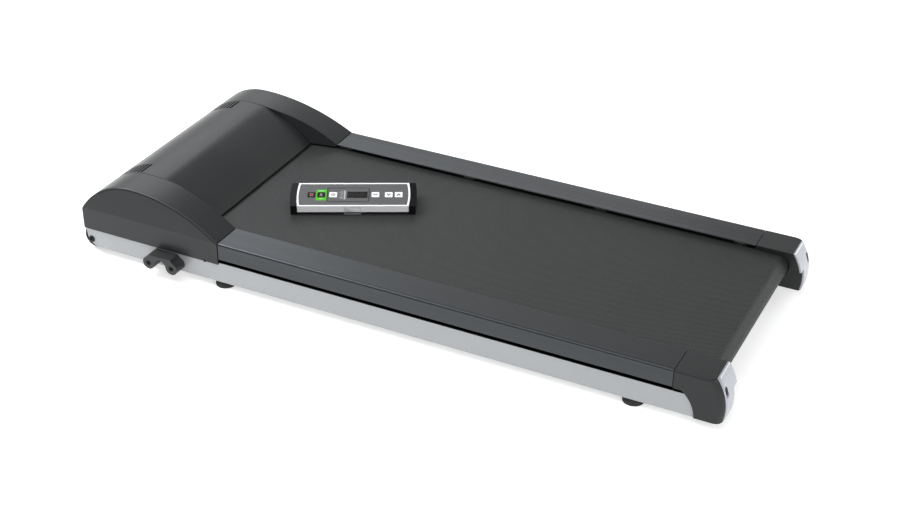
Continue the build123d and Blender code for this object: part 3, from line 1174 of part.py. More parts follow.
def wheel_bolts():
    """Shoulder bolts that carry the transport wheels."""
    inner_y, outer_y = wheel_faces()
    tail_y = inner_y - WHEEL_SIDE_PLAY
    bolt = rod_y(WHEEL_BOLT_RADIUS, tail_y, WEB_Y, WHEEL_X, WHEEL_Z)
    bolt += rod_y(WHEEL_BOLT_HEAD_RADIUS, WEB_Y, WEB_Y + WHEEL_BOLT_HEAD, WHEEL_X, WHEEL_Z)
    bolt += rod_y(WHEEL_SPACER_RADIUS, outer_y + WHEEL_SIDE_PLAY, WEB_INNER_Y, WHEEL_X, WHEEL_Z)
    bolt += rod_y(WHEEL_NUT_RADIUS, tail_y - WHEEL_NUT, tail_y, WHEEL_X, WHEEL_Z)
    return Compound(children=[bolt, other_side(bolt)])


def side_bracket():
    """Right hand saddle bracket, an upturned U with a screw in each lobe."""
    rear_x = BRACKET_FRONT_X + BRACKET_LOBE_SPACING
    middle_x = (BRACKET_FRONT_X + rear_x) / 2
    left_x = BRACKET_FRONT_X - BRACKET_LOBE_RADIUS
    right_x = rear_x + BRACKET_LOBE_RADIUS
    saddle = make_face(Polyline(
        (left_x, BRACKET_LOBE_Z),
        (left_x + BRACKET_CHAMFER_RUN, BRACKET_TOP_Z),
        (right_x - BRACKET_CHAMFER_RUN, BRACKET_TOP_Z),
        (right_x, BRACKET_LOBE_Z),
        close=True,
    ))
    for lobe_x in (BRACKET_FRONT_X, rear_x):
        saddle += Pos(lobe_x, BRACKET_LOBE_Z) * Circle(BRACKET_LOBE_RADIUS)
    notch_radius = BRACKET_NOTCH_WIDTH / 2
    notch_z = BRACKET_TOP_Z - BRACKET_BRIDGE - notch_radius
    saddle -= Pos(middle_x, notch_z) * Circle(notch_radius)
    saddle -= Pos(middle_x, notch_z / 2) * Rectangle(BRACKET_NOTCH_WIDTH, notch_z)
    bracket = extrude_y(saddle, WEB_Y, BRACKET_OUTER_Y)
    for lobe_x in (BRACKET_FRONT_X, rear_x):
        bracket -= bore_y(BRACKET_SCREW_RADIUS + HOLE_CLEARANCE, WEB_Y, BRACKET_OUTER_Y,
                          lobe_x, BRACKET_LOBE_Z)
        bracket -= rod_y(BRACKET_BORE_RADIUS, BRACKET_OUTER_Y - BRACKET_BORE_DEPTH,
                         BRACKET_OUTER_Y + CUT_OVERRUN, lobe_x, BRACKET_LOBE_Z)
    return bracket


def bracket_screws():
    """Cap screws that fix the side brackets to the channels."""
    screws = []
    seat_y = BRACKET_OUTER_Y - BRACKET_BORE_DEPTH
    for lobe_x in (BRACKET_FRONT_X, BRACKET_FRONT_X + BRACKET_LOBE_SPACING):
        screw = rod_y(BRACKET_SCREW_RADIUS, WEB_INNER_Y - BRACKET_SCREW_TAIL, seat_y, lobe_x, BRACKET_LOBE_Z)
        screw += rod_y(BRACKET_SCREW_HEAD_RADIUS, seat_y, seat_y + BRACKET_SCREW_HEAD, lobe_x, BRACKET_LOBE_Z)
        screws += [screw, other_side(screw)]
    return Compound(children=screws)


def levelling_foot(x, y):
    """Rubber foot moulded on a threaded stud."""
    pad = rod_z(FOOT_RADIUS, 0, FOOT_LIP_HEIGHT, x, y)
    skirt = Pos(x, y, (FOOT_LIP_HEIGHT + FOOT_PAD_HEIGHT) / 2) * Cone(
        FOOT_RADIUS, FOOT_TOP_RADIUS, FOOT_PAD_HEIGHT - FOOT_LIP_HEIGHT)
    return pad + skirt + rod_z(FOOT_STUD_RADIUS, FOOT_PAD_HEIGHT, FOOT_STUD_TOP_Z, x, y)


def console_place():
    """Location of the console on the belt, turned to face the walker's left."""
    return Pos(CONSOLE_X, CONSOLE_Y, BELT_TOP_Z) * Rot(0, 0, CONSOLE_TURN)


def console_slope():
    """Tilt of the console's top face in degrees."""
    return degrees(atan2(CONSOLE_BACK_Z - CONSOLE_FRONT_Z, CONSOLE_DEPTH))


def top_place():
    """Location of the console's sloping top face, with Z square to it."""
    middle_z = (CONSOLE_FRONT_Z + CONSOLE_BACK_Z) / 2
    return Pos(0, 0, middle_z) * Rot(console_slope(), 0, 0)


def console_section(offset, floor_z):
    """End view of the console body in its own Y and Z."""
    half = CONSOLE_DEPTH / 2 + offset
    return make_face(Polyline(
        (-half, floor_z),
        (-half, CONSOLE_FRONT_Z + offset),
        (half, CONSOLE_BACK_Z + offset),
        (half, floor_z),
        close=True,
    ))


def console_plan(half_length, half_depth):
    """Plan of the console body, with bowed ends."""
    right = ThreePointArc((half_length, -half_depth), (half_length + CONSOLE_END_BULGE, 0),
                          (half_length, half_depth))
    left = ThreePointArc((-half_length, half_depth), (-half_length - CONSOLE_END_BULGE, 0),
                         (-half_length, -half_depth))
    back = Line((half_length, half_depth), (-half_length, half_depth))
    front = Line((-half_length, -half_depth), (half_length, -half_depth))
    return make_face([right, back, left, front])


def end_depth():
    """Half depth over which the console's ends are bowed."""
    return CONSOLE_DEPTH / 2 + 2 * CONSOLE_CAP_PROUD


def overlay_sheet(margin, thickness):
    """Front sheet of the console in the frame of its top face, top face at Z = 0."""
    slope_depth = CONSOLE_DEPTH / cos(radians(console_slope()))
    plan = console_plan(CONSOLE_END_X - margin, slope_depth / 2 - margin)
    return extrude(plan, amount=-thickness)


def key_plug(center_x, margin, top_z, height):
    """Rounded key body in the frame of the console's top face."""
    plan = RectangleRounded(KEY_WIDTH + 2 * margin, KEY_DEPTH + 2 * margin, KEY_CORNER + margin)
    return Pos(center_x, KEY_ROW_Y, top_z) * extrude(plan, amount=-height)


def display_plug(margin, height):
    """Display body in the frame of the console's top face."""
    plan = Rectangle(DISPLAY_WIDTH + 2 * margin, DISPLAY_DEPTH + 2 * margin)
    return Pos(DISPLAY_X, KEY_ROW_Y, 0) * extrude(plan, amount=-height)


def console_holes(height):
    """Key and display openings, cut down from the console's top face."""
    depth = height + CUT_OVERRUN
    holes = [key_plug(x, KEY_CLEARANCE, CUT_OVERRUN, depth) for x in KEY_CENTERS.values()]
    holes.append(Pos(0, 0, CUT_OVERRUN) * display_plug(OVERLAY_GAP, depth))
    return holes


def board_top():
    """Depth of the console board's upper face below the top face."""
    return -(OVERLAY_THICKNESS + OVERLAY_GAP + CONSOLE_WALL) - POST_RADIUS


def console_housing():
    """Silver console body with a recess for the front sheet."""
    body = extrude_x(console_section(0, CONSOLE_FLOOR_Z), -CONSOLE_LENGTH / 2, CONSOLE_LENGTH / 2)
    body &= extrude(console_plan(CONSOLE_END_X, end_depth()), amount=2 * CONSOLE_BACK_Z)
    skin = OVERLAY_THICKNESS + OVERLAY_GAP + CONSOLE_WALL
    hollow = make_face(Polyline(
        (-CONSOLE_DEPTH / 2 + CONSOLE_WALL, CONSOLE_FLOOR_Z + CONSOLE_WALL),
        (-CONSOLE_DEPTH / 2 + CONSOLE_WALL, CONSOLE_FRONT_Z - skin),
        (CONSOLE_DEPTH / 2 - CONSOLE_WALL, CONSOLE_BACK_Z - skin),
        (CONSOLE_DEPTH / 2 - CONSOLE_WALL, CONSOLE_FLOOR_Z + CONSOLE_WALL),
        close=True,
    ))
    body -= extrude_x(hollow, -CONSOLE_LENGTH, CONSOLE_LENGTH)
    top = top_place()
    recess_depth = OVERLAY_THICKNESS + OVERLAY_GAP + CUT_OVERRUN
    body -= top * Pos(0, 0, CUT_OVERRUN) * overlay_sheet(OVERLAY_MARGIN - OVERLAY_GAP, recess_depth)
    body -= [top * hole for hole in console_holes(skin + CUT_OVERRUN)]
    for x in (-POST_X, POST_X):
        for y in (-POST_Y, POST_Y):
            post_top = board_top() + POST_RADIUS + CONSOLE_WALL / 2
            post = Pos(x, y, board_top()) * extrude(Circle(POST_RADIUS), amount=post_top - board_top())
            body += top * post
    return console_place() * body


def console_end_caps():
    """Black end caps that stand on the belt and close the console body."""
    section = console_section(CONSOLE_CAP_PROUD, 0)
    bar = extrude_x(section, -CONSOLE_LENGTH, CONSOLE_LENGTH)
    long_edges = bar.edges().filter_by(Axis.X).sort_by(Axis.Z)[2:]
    bar = fillet(long_edges, CONSOLE_EDGE_RADIUS)
    plan = console_plan(CONSOLE_LENGTH / 2, end_depth()) - console_plan(CONSOLE_END_X, end_depth())
    bar &= Pos(0, 0, -CONSOLE_BACK_Z) * extrude(plan, amount=3 * CONSOLE_BACK_Z)
    return console_place() * Compound(children=list(bar.solids()))


def console_overlay():
    """Printed front sheet with openings for the keys and the display."""
    sheet = overlay_sheet(OVERLAY_MARGIN, OVERLAY_THICKNESS)
    sheet -= console_holes(2 * OVERLAY_THICKNESS)
    return console_place() * top_place() * sheet


def console_display():
    """Dark display window over the number module."""
    return console_place() * top_place() * display_plug(0, DISPLAY_THICKNESS)


def console_board():
    """Circuit board under the keys, with a switch below each key."""
    top_z = board_top()
    board = Pos(0, 0, top_z) * extrude(Rectangle(2 * BOARD_HALF_LENGTH, 2 * BOARD_HALF_DEPTH),
                                       amount=-CONSOLE_BOARD_THICKNESS)
    switch_top = KEY_PROUD - KEY_HEIGHT - KEY_TRAVEL - KEY_OVERTRAVEL
    for x in KEY_CENTERS.values():
        switch = extrude(Rectangle(SWITCH_SIZE, SWITCH_SIZE), amount=switch_top - top_z)
        board += Pos(x, KEY_ROW_Y, top_z) * switch
    module = extrude(Rectangle(DISPLAY_WIDTH - SWITCH_SIZE, SWITCH_SIZE), amount=-DISPLAY_THICKNESS - top_z)
    board += Pos(DISPLAY_X, KEY_ROW_Y, top_z) * module
    return console_place() * top_place() * board


def console_key(center_x):
    """One key cap."""
    return console_place() * top_place() * key_plug(center_x, 0, KEY_PROUD, KEY_HEIGHT)


def console_tab():
    """Clear card holder on the front face."""
    front_y = -CONSOLE_DEPTH / 2
    tab = block(TAB_X - TAB_WIDTH / 2, TAB_X + TAB_WIDTH / 2, front_y - TAB_THICKNESS, front_y,
                TAB_BELT_GAP, CONSOLE_FRONT_Z - TAB_THICKNESS)
    return console_place() * tab


os.makedirs("parts", exist_ok=True)

write_pair("side_member", side_member())
write("cross_members", cross_members())
write("belly_pan", belly_pan())
write("deck", deck())
write("deck_cushions", deck_cushions())
write("deck_screws", deck_screws())
write("rail_clips", rail_clips())
write_pair("foot_rail", foot_rail())

write("walking_belt", walking_belt())
write("front_roller_drum", roller_drum(FRONT_ROLLER_X))
write("front_roller_bearings", roller_bearings(FRONT_ROLLER_X))
write("front_roller_axle", front_axle())
write("roller_pulley", roller_pulley())
write("rear_roller_drum", roller_drum(REAR_ROLLER_X))
write("rear_roller_bearings", roller_bearings(REAR_ROLLER_X))
write("rear_roller_axle", rear_axle())
write_pair("tension_bolt", tension_bolt())

write("motor_case", motor_case())
write("motor_shaft", motor_shaft())
write("motor_pulley", motor_pulley())
write("motor_cradle", motor_cradle())
write("drive_belt", drive_belt())
write("heat_sink", heat_sink())
write("controller_board", controller_board())
write("speed_sensor", speed_sensor())
write("power_inlet", power_inlet())
write("power_rocker", power_rocker())

write("hood_center_panel", hood_center_panel())
write_pair("hood_side", hood_cheek())
write("hood_screws", hood_screws())
write_pair("rear_cap", rear_cap())
write_pair("rear_plate", rear_plate())

write_pair("transport_wheel", transport_wheel())
write("wheel_bolts", wheel_bolts())
write_pair("side_bracket", side_bracket())
write("bracket_screws", bracket_screws())
for end, foot_x in (("front", FOOT_FRONT_X), ("rear", FOOT_REAR_X)):
    write("foot_" + end + "_left", levelling_foot(foot_x, -FOOT_Y))
    write("foot_" + end + "_right", levelling_foot(foot_x, FOOT_Y))

write("console_housing", console_housing())
write("console_end_caps", console_end_caps())
write("console_overlay", console_overlay())
write("console_display", console_display())
write("console_board", console_board())
write("console_tab", console_tab())
for key_name, key_x in KEY_CENTERS.items():
    write(key_name, console_key(key_x))
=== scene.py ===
import json
from math import cos, pi, radians, sin

import bmesh
import bpy
from mathutils import Matrix, Vector


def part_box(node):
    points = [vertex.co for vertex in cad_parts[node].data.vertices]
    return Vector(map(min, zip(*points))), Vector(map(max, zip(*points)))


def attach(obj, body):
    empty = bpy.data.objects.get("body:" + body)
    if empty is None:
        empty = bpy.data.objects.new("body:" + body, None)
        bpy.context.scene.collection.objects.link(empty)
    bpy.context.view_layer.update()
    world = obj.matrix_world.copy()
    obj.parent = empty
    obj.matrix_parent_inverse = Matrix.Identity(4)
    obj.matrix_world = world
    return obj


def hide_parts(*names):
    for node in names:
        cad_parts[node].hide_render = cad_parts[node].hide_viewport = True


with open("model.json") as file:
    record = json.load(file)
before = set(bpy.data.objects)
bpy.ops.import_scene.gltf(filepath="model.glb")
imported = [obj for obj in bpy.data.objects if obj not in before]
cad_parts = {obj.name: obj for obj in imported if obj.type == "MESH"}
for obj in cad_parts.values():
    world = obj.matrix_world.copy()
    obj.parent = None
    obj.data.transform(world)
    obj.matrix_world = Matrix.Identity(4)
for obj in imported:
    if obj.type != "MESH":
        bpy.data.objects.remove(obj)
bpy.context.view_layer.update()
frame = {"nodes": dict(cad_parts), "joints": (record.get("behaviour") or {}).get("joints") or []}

# Side channels
# Two long channels folded from steel sheet, powder coated in silver grey.
# The axle brackets are welded on their upper flanges, and everything else bolts to them.

MM = 0.001


def effect(name, inputs, outputs):
    """A node group with named number inputs and outputs."""
    group = bpy.data.node_groups.new(name, "ShaderNodeTree")
    for label, value in inputs.items():
        socket = group.interface.new_socket(label, in_out="INPUT", socket_type="NodeSocketFloat")
        socket.default_value = value
    for label in outputs:
        group.interface.new_socket(label, in_out="OUTPUT", socket_type="NodeSocketFloat")
    return group, group.nodes.new("NodeGroupInput"), group.nodes.new("NodeGroupOutput")


def feed(tree, socket, value):
    """Link a socket to another one, or set its value."""
    if isinstance(value, bpy.types.NodeSocket):
        tree.links.new(value, socket)
    else:
        socket.default_value = value


def add(tree, kind, **values):
    """A shader node with its inputs filled in by name."""
    node = tree.nodes.new("ShaderNode" + kind)
    for label, value in values.items():
        feed(tree, node.inputs[label.replace("_", " ")], value)
    return node


def figure(tree, operation, *values):
    """The result of a Math node."""
    node = tree.nodes.new("ShaderNodeMath")
    node.operation = operation
    for socket, value in zip(node.inputs, values):
        feed(tree, socket, value)
    return node.outputs[0]


def stretched(tree, factors):
    """Object coordinates, multiplied along each axis."""
    scaled = tree.nodes.new("ShaderNodeVectorMath")
    scaled.operation = "MULTIPLY"
    tree.links.new(tree.nodes.new("ShaderNodeTexCoord").outputs["Object"], scaled.inputs[0])
    scaled.inputs[1].default_value = factors
    return scaled.outputs[0]


def ranged(tree, value, low, high, to_low, to_high):
    """A value taken from one range to another, held at the ends."""
    node = add(tree, "MapRange", Value=value, From_Min=low, From_Max=high, To_Min=to_low, To_Max=to_high)
    return node.outputs["Result"]


def mixed(tree, mask, dark, light):
    """A colour between two others."""
    node = tree.nodes.new("ShaderNodeMix")
    node.data_type = "RGBA"
    factor, first, second = node.inputs[0], node.inputs[6], node.inputs[7]
    for socket, value in ((factor, mask), (first, dark), (second, light)):
        feed(tree, socket, value if not isinstance(value, tuple) else (*value, 1.0))
    return node.outputs[2]


def new_finish(name, **plain):
    """A material with its Principled shader, and the plain values set on the shader's sockets."""
    material = bpy.data.materials.new(name)
    material.use_nodes = True
    tree = material.node_tree
    shader = tree.nodes["Principled BSDF"]
    for label, value in plain.items():
        shader.inputs[label.replace("_", " ")].default_value = value
    return material, tree, shader


def placed(tree, group, **values):
    """One use of a shared effect, with its own values."""
    node = tree.nodes.new("ShaderNodeGroup")
    node.node_tree = group
    for label, value in values.items():
        feed(tree, node.inputs[label.replace("_", " ")], value)
    return node.outputs


def relief(tree, shader, height, depth):
    """Raise a height into the surface, depth in metres."""
    bump = add(tree, "Bump", Strength=1.0, Distance=depth, Height=height)
    tree.links.new(bump.outputs["Normal"], shader.inputs["Normal"])


def dress(material, *nodes):
    """Give CAD nodes their finish."""
    for name in nodes:
        slots = frame["nodes"][name].data.materials
        slots.clear()
        slots.append(material)


WELD_REACH = 0.01 * MM
FLAT_WITHIN = radians(0.5)
EDGE_FROM = radians(40)
EDGE_SEGMENTS = 2


def soften(width, *nodes):
    """Break the sharp edges of CAD nodes with a small round."""
    for name in nodes:
        modifiers = frame["nodes"][name].modifiers
        modifiers.new("joined_corners", "WELD").merge_threshold = WELD_REACH
        flat = modifiers.new("whole_faces", "DECIMATE")
        flat.decimate_type = "DISSOLVE"
        flat.angle_limit = FLAT_WITHIN
        edge = modifiers.new("broken_edges", "BEVEL")
        edge.width = width
        edge.segments = EDGE_SEGMENTS
        edge.limit_method = "ANGLE"
        edge.angle_limit = EDGE_FROM
        modifiers.new("even_shading", "WEIGHTED_NORMAL")


surface_grain, given, made = effect("surface_grain", {"Scale": 900.0}, ("Height", "Tone"))
fine = add(surface_grain, "TexNoise", Vector=stretched(surface_grain, (1, 1, 1)), Detail=3.0,
           Scale=given.outputs["Scale"])
broad = add(surface_grain, "TexNoise", Vector=stretched(surface_grain, (1, 1, 1)), Detail=4.0, Scale=7.0)
surface_grain.links.new(fine.outputs[0], made.inputs["Height"])
surface_grain.links.new(ranged(surface_grain, broad.outputs[0], 0.3, 0.7, 0.0, 1.0), made.inputs["Tone"])

settled_dust, given, made = effect("settled_dust", {"Amount": 0.1}, ("Mask",))
facing = settled_dust.nodes.new("ShaderNodeNewGeometry").outputs["Normal"]
upward = settled_dust.nodes.new("ShaderNodeSeparateXYZ")
settled_dust.links.new(facing, upward.inputs[0])
patches = add(settled_dust, "TexNoise", Vector=stretched(settled_dust, (1, 1, 1)), Scale=24.0, Detail=6.0)
lying = figure(settled_dust, "MULTIPLY", ranged(settled_dust, upward.outputs["Z"], 0.5, 1.0, 0.0, 1.0),
               ranged(settled_dust, patches.outputs[0], 0.4, 0.75, 0.0, 1.0))
settled_dust.links.new(figure(settled_dust, "MULTIPLY", lying, given.outputs["Amount"]), made.inputs["Mask"])

DUST_COLOUR = (0.35, 0.34, 0.32)


def coated(name, dark, light, rough, grain=900.0, depth=0.00002, dusty=0.0, **plain):
    """A grained coat or moulded skin: two close tones, uneven gloss, fine relief and a little dust."""
    material, tree, shader = new_finish(name, **plain)
    grained = placed(tree, surface_grain, Scale=grain)
    colour = mixed(tree, grained["Tone"], dark, light)
    if dusty:
        colour = mixed(tree, placed(tree, settled_dust, Amount=dusty)["Mask"], colour, DUST_COLOUR)
    tree.links.new(colour, shader.inputs["Base Color"])
    tree.links.new(ranged(tree, grained["Tone"], 0.0, 1.0, *rough), shader.inputs["Roughness"])
    relief(tree, shader, grained["Height"], depth)
    return material


FLAKE = 0.25
silver_paint = coated("silver_paint", (0.425, 0.437, 0.447), (0.45, 0.462, 0.472), (0.34, 0.42), grain=1400.0,
                      depth=0.00001, Metallic=FLAKE)

# The strip of the channels behind the rails' skirts is painted black, as painted shade for the shadowed gap
# between them.
GAP_FOOT = 68.8 * MM
GAP_EDGE = 0.4 * MM
GAP_PAINTED_SHADE = (0.002, 0.002, 0.002)
tree = silver_paint.node_tree
shader = tree.nodes["Principled BSDF"]
height = tree.nodes.new("ShaderNodeSeparateXYZ")
tree.links.new(stretched(tree, (1, 1, 1)), height.inputs[0])
in_painted_gap_shade = ranged(tree, height.outputs["Z"], GAP_FOOT, GAP_FOOT + GAP_EDGE, 0.0, 1.0)
paint_colour = shader.inputs["Base Color"].links[0].from_socket
tree.links.new(mixed(tree, in_painted_gap_shade, paint_colour, GAP_PAINTED_SHADE), shader.inputs["Base Color"])
tree.links.new(ranged(tree, in_painted_gap_shade, 0.0, 1.0, FLAKE, 1.0), shader.inputs["Metallic"])
dress(silver_paint, "side_member_left", "side_member_right")
soften(0.8 * MM, "side_member_left", "side_member_right")

# Cross members, belly pan and motor cradle
# Welded tubes and folded sheet between the channels, powder coated black.
# The pan is turned up at the front, where the mains inlet snaps in.

black_coat = coated("black_powder_coat", (0.018, 0.018, 0.019), (0.026, 0.026, 0.027), (0.45, 0.6), grain=1600.0,
                    depth=0.00003, dusty=0.15)
dress(black_coat, "cross_members", "belly_pan", "motor_cradle")
soften(0.6 * MM, "belly_pan")

# Deck
# Fibreboard faced with a waxed black laminate, screwed down through rubber bushes.
# Its sawn edges show the brown core.

deck_finish, tree, shader = new_finish("waxed_deck", Coat_Weight=0.15, Coat_Roughness=0.3)
board = placed(tree, surface_grain, Scale=2600.0)
deck_low, deck_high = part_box("deck")
height = tree.nodes.new("ShaderNodeSeparateXYZ")
tree.links.new(stretched(tree, (1, 1, 1)), height.inputs[0])
LAMINATE = 0.8 * MM
FIBRE_DEPTH = 0.04 * MM
core = figure(tree, "MULTIPLY", figure(tree, "LESS_THAN", height.outputs["Z"], deck_high.z - LAMINATE),
              figure(tree, "GREATER_THAN", height.outputs["Z"], deck_low.z + LAMINATE))
fibres = mixed(tree, board["Height"], (0.13, 0.085, 0.05), (0.2, 0.14, 0.085))
wax = mixed(tree, board["Tone"], (0.012, 0.012, 0.012), (0.02, 0.02, 0.02))
tree.links.new(mixed(tree, core, wax, fibres), shader.inputs["Base Color"])
tree.links.new(ranged(tree, core, 0.0, 1.0, 0.38, 0.85), shader.inputs["Roughness"])
relief(tree, shader, board["Height"], FIBRE_DEPTH)
dress(deck_finish, "deck")

# Deck bushes
# Moulded rubber, matte black with a faint bloom.
# They carry the deck on the channels and take the shock of each step.

rubber = coated("moulded_rubber", (0.014, 0.014, 0.014), (0.024, 0.024, 0.023), (0.6, 0.78), grain=1800.0,
                depth=0.00005, dusty=0.12)
dress(rubber, "deck_cushions")

# Rail clips
# Natural nylon clips that stand on the deck and hold the foot rails from below.
# Moulded, snapped on and hardly seen.

nylon = coated("natural_nylon", (0.74, 0.73, 0.69), (0.8, 0.79, 0.75), (0.45, 0.55), Subsurface_Weight=0.1)
dress(nylon, "rail_clips")

# Rollers with their bearings and axles
# Turned steel drums with ball bearings pressed into their ends, on plain steel axles.
# The turning marks run round the drum.

turned_marks, given, made = effect("turned_marks", {"Spacing": 1500.0}, ("Height", "Tone"))
marks = add(turned_marks, "TexNoise", Vector=stretched(turned_marks, (4, 1, 4)), Detail=2.0,
            Scale=given.outputs["Spacing"])
cloud = add(turned_marks, "TexNoise", Vector=stretched(turned_marks, (1, 1, 1)), Detail=3.0, Scale=30.0)
turned_marks.links.new(marks.outputs[0], made.inputs["Height"])
turned_marks.links.new(ranged(turned_marks, cloud.outputs[0], 0.3, 0.7, 0.0, 1.0), made.inputs["Tone"])

MARK_SPACING = 1500.0
MARK_DEPTH = 0.008 * MM


def machined(name, dark, light, rough):
    """Turned or milled metal with its tool marks."""
    material, tree, shader = new_finish(name, Metallic=1.0)
    tooled = placed(tree, turned_marks, Spacing=MARK_SPACING)
    tree.links.new(mixed(tree, tooled["Tone"], dark, light), shader.inputs["Base Color"])
    tree.links.new(ranged(tree, tooled["Tone"], 0.0, 1.0, *rough), shader.inputs["Roughness"])
    relief(tree, shader, tooled["Height"], MARK_DEPTH)
    return material


turned_steel = machined("turned_steel", (0.42, 0.42, 0.43), (0.52, 0.52, 0.53), (0.22, 0.34))
dress(turned_steel, "front_roller_drum", "front_roller_axle", "front_roller_bearings", "rear_roller_drum",
      "rear_roller_axle", "rear_roller_bearings", "motor_shaft")

# Walking belt
# Endless two-ply belt with a pebbled top cover, run round both rollers.
# The pebbles are about 9 by 6 mm apart, staggered from row to row.

SHARP_FROM = radians(35)


def surface(name, points, faces, body, slot, material, *stands_for):
    """A piece that rides on a body, smooth but for its sharp edges."""
    mesh = bpy.data.meshes.new(name)
    mesh.from_pydata([tuple(p) for p in points], [], faces)
    mesh.update()
    mesh.materials.append(material)
    for face in mesh.polygons:
        face.use_smooth = True
    mesh.set_sharp_from_angle(angle=SHARP_FROM)
    piece = bpy.data.objects.new(name, mesh)
    bpy.context.scene.collection.objects.link(piece)
    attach(piece, body)
    if stands_for:
        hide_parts(*stands_for)
    return piece


belt_low, belt_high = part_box("walking_belt")
BELT_THICKNESS = 2.0 * MM
BELT_EDGE = 0.5 * MM
BELT_RUN_STEPS = 60
BELT_TURN_STEPS = 28
turn_radius = (belt_high.z - belt_low.z) / 2
belt_axis_z = (belt_high.z + belt_low.z) / 2
front_axis_x = belt_low.x + turn_radius
rear_axis_x = belt_high.x - turn_radius
half_belt = belt_high.y


def belt_stations():
    """Centre, outward direction and distance along the belt's outer face, once round."""
    stations = []
    span = rear_axis_x - front_axis_x
    for step in range(BELT_RUN_STEPS):
        part = step / BELT_RUN_STEPS
        stations.append((front_axis_x + part * span, belt_axis_z, 0.0, part * span))
    for step in range(BELT_TURN_STEPS):
        turn = pi * step / BELT_TURN_STEPS
        stations.append((rear_axis_x, belt_axis_z, turn, span + turn * turn_radius))
    bottom = span + pi * turn_radius
    for step in range(BELT_RUN_STEPS):
        part = step / BELT_RUN_STEPS
        stations.append((rear_axis_x - part * span, belt_axis_z, pi, bottom + part * span))
    for step in range(BELT_TURN_STEPS):
        turn = pi + pi * step / BELT_TURN_STEPS
        stations.append((front_axis_x, belt_axis_z, turn, bottom + span + (turn - pi) * turn_radius))
    return stations, 2 * span + 2 * pi * turn_radius


section = [(-half_belt + BELT_EDGE, 0), (half_belt - BELT_EDGE, 0), (half_belt, -BELT_EDGE),
           (half_belt, -BELT_THICKNESS + BELT_EDGE), (half_belt - BELT_EDGE, -BELT_THICKNESS),
           (-half_belt + BELT_EDGE, -BELT_THICKNESS), (-half_belt, -BELT_THICKNESS + BELT_EDGE),
           (-half_belt, -BELT_EDGE)]
stations, belt_length = belt_stations()
belt_points = []
for center_x, center_z, turn, _ in stations:
    for y, rise in section:
        reach = turn_radius + rise
        belt_points.append((center_x + reach * sin(turn), y, center_z + reach * cos(turn)))
belt_faces = []
rows, sides = len(stations), len(section)
for row in range(rows):
    after = (row + 1) % rows
    for side in range(sides):
        beside = (side + 1) % sides
        belt_faces.append((row * sides + side, row * sides + beside, after * sides + beside, after * sides + side))

belt_cover, tree, shader = new_finish("pebbled_belt_cover", Specular_IOR_Level=0.42)
PEBBLE_LENGTH = 9.2 * MM
PEBBLE_WIDTH = 5.6 * MM
PEBBLE_DEPTH = 0.25 * MM
PEBBLE_FOOT, PEBBLE_TOP = -0.2, 0.34
GRAIN_SHARE = 0.3
run = tree.nodes.new("ShaderNodeUVMap")
run.uv_map = "belt_run"
axes = tree.nodes.new("ShaderNodeSeparateXYZ")
tree.links.new(run.outputs[0], axes.inputs[0])
lengthwise = figure(tree, "COSINE", figure(tree, "MULTIPLY", axes.outputs["X"], 2 * pi / PEBBLE_LENGTH))
crosswise = figure(tree, "COSINE", figure(tree, "MULTIPLY", axes.outputs["Y"], 2 * pi / PEBBLE_WIDTH))
swell = figure(tree, "MULTIPLY", lengthwise, crosswise)
pebbles = ranged(tree, swell, PEBBLE_FOOT, PEBBLE_TOP, 0.0, 1.0)
cover = placed(tree, surface_grain, Scale=2400.0)
worn = mixed(tree, cover["Tone"], (0.037, 0.038, 0.037), (0.041, 0.042, 0.041))
# The hollows between the pebbles are painted near black, as painted shade in the hollows of the cover.
pebbles_with_painted_hollow_shade = mixed(tree, pebbles, (0.004, 0.0045, 0.0045), worn)
tree.links.new(pebbles_with_painted_hollow_shade, shader.inputs["Base Color"])
tree.links.new(ranged(tree, pebbles, 0.0, 1.0, 0.7, 0.46), shader.inputs["Roughness"])
grit = figure(tree, "MULTIPLY", cover["Height"], GRAIN_SHARE)
relief(tree, shader, figure(tree, "ADD", pebbles, grit), PEBBLE_DEPTH)

belt = surface("walking_belt_cover", belt_points, belt_faces, "root", "walking_belt", belt_cover, "walking_belt")
belt_run = belt.data.uv_layers.new(name="belt_run")
closing_face = (rows - 1) * sides
for face in belt.data.polygons:
    for corner in face.loop_indices:
        row, side = divmod(belt.data.loops[corner].vertex_index, sides)
        along = stations[row][3]
        if along == 0.0 and face.index >= closing_face:
            along = belt_length
        belt_run.data[corner].uv = (along, section[side][0])

# Drive motor with its pulleys and ribbed belt
# A black enamelled case on a cradle, with a cast flywheel beside its drive pulley.
# The ribbed belt goes back to the pulley on the front roller.

motor_enamel = coated("motor_enamel", (0.02, 0.02, 0.022), (0.03, 0.03, 0.032), (0.3, 0.42), depth=0.00003)
dress(motor_enamel, "motor_case")
cast_iron = machined("machined_casting", (0.16, 0.16, 0.165), (0.24, 0.24, 0.25), (0.35, 0.5))
dress(cast_iron, "motor_pulley")
bare_aluminium = machined("bare_aluminium", (0.55, 0.56, 0.57), (0.64, 0.65, 0.66), (0.3, 0.42))
dress(bare_aluminium, "roller_pulley", "heat_sink")
ribbed_rubber = coated("ribbed_rubber", (0.012, 0.012, 0.012), (0.02, 0.02, 0.02), (0.55, 0.7), depth=0.00004)
dress(ribbed_rubber, "drive_belt")

# Motor controller, speed sensor and mains inlet
# A green board on a finned heat sink, a small pick-up beside the roller pulley,
# and the moulded inlet with its rocker, snapped into the front sheet.

solder_mask = coated("solder_mask", (0.015, 0.09, 0.035), (0.02, 0.12, 0.05), (0.28, 0.36), grain=400.0)
dress(solder_mask, "controller_board", "console_board")
black_moulding = coated("black_moulding", (0.013, 0.013, 0.014), (0.019, 0.019, 0.02), (0.38, 0.5), grain=1500.0,
                        depth=0.00003, dusty=0.06)
dress(black_moulding, "speed_sensor", "power_inlet", "power_rocker")

# Motor hood
# Three moulded shells in charcoal plastic with a fine spark-eroded grain.
# The middle panel is vented, both cheeks lap under it, and a black screw holds each cheek to its channel.

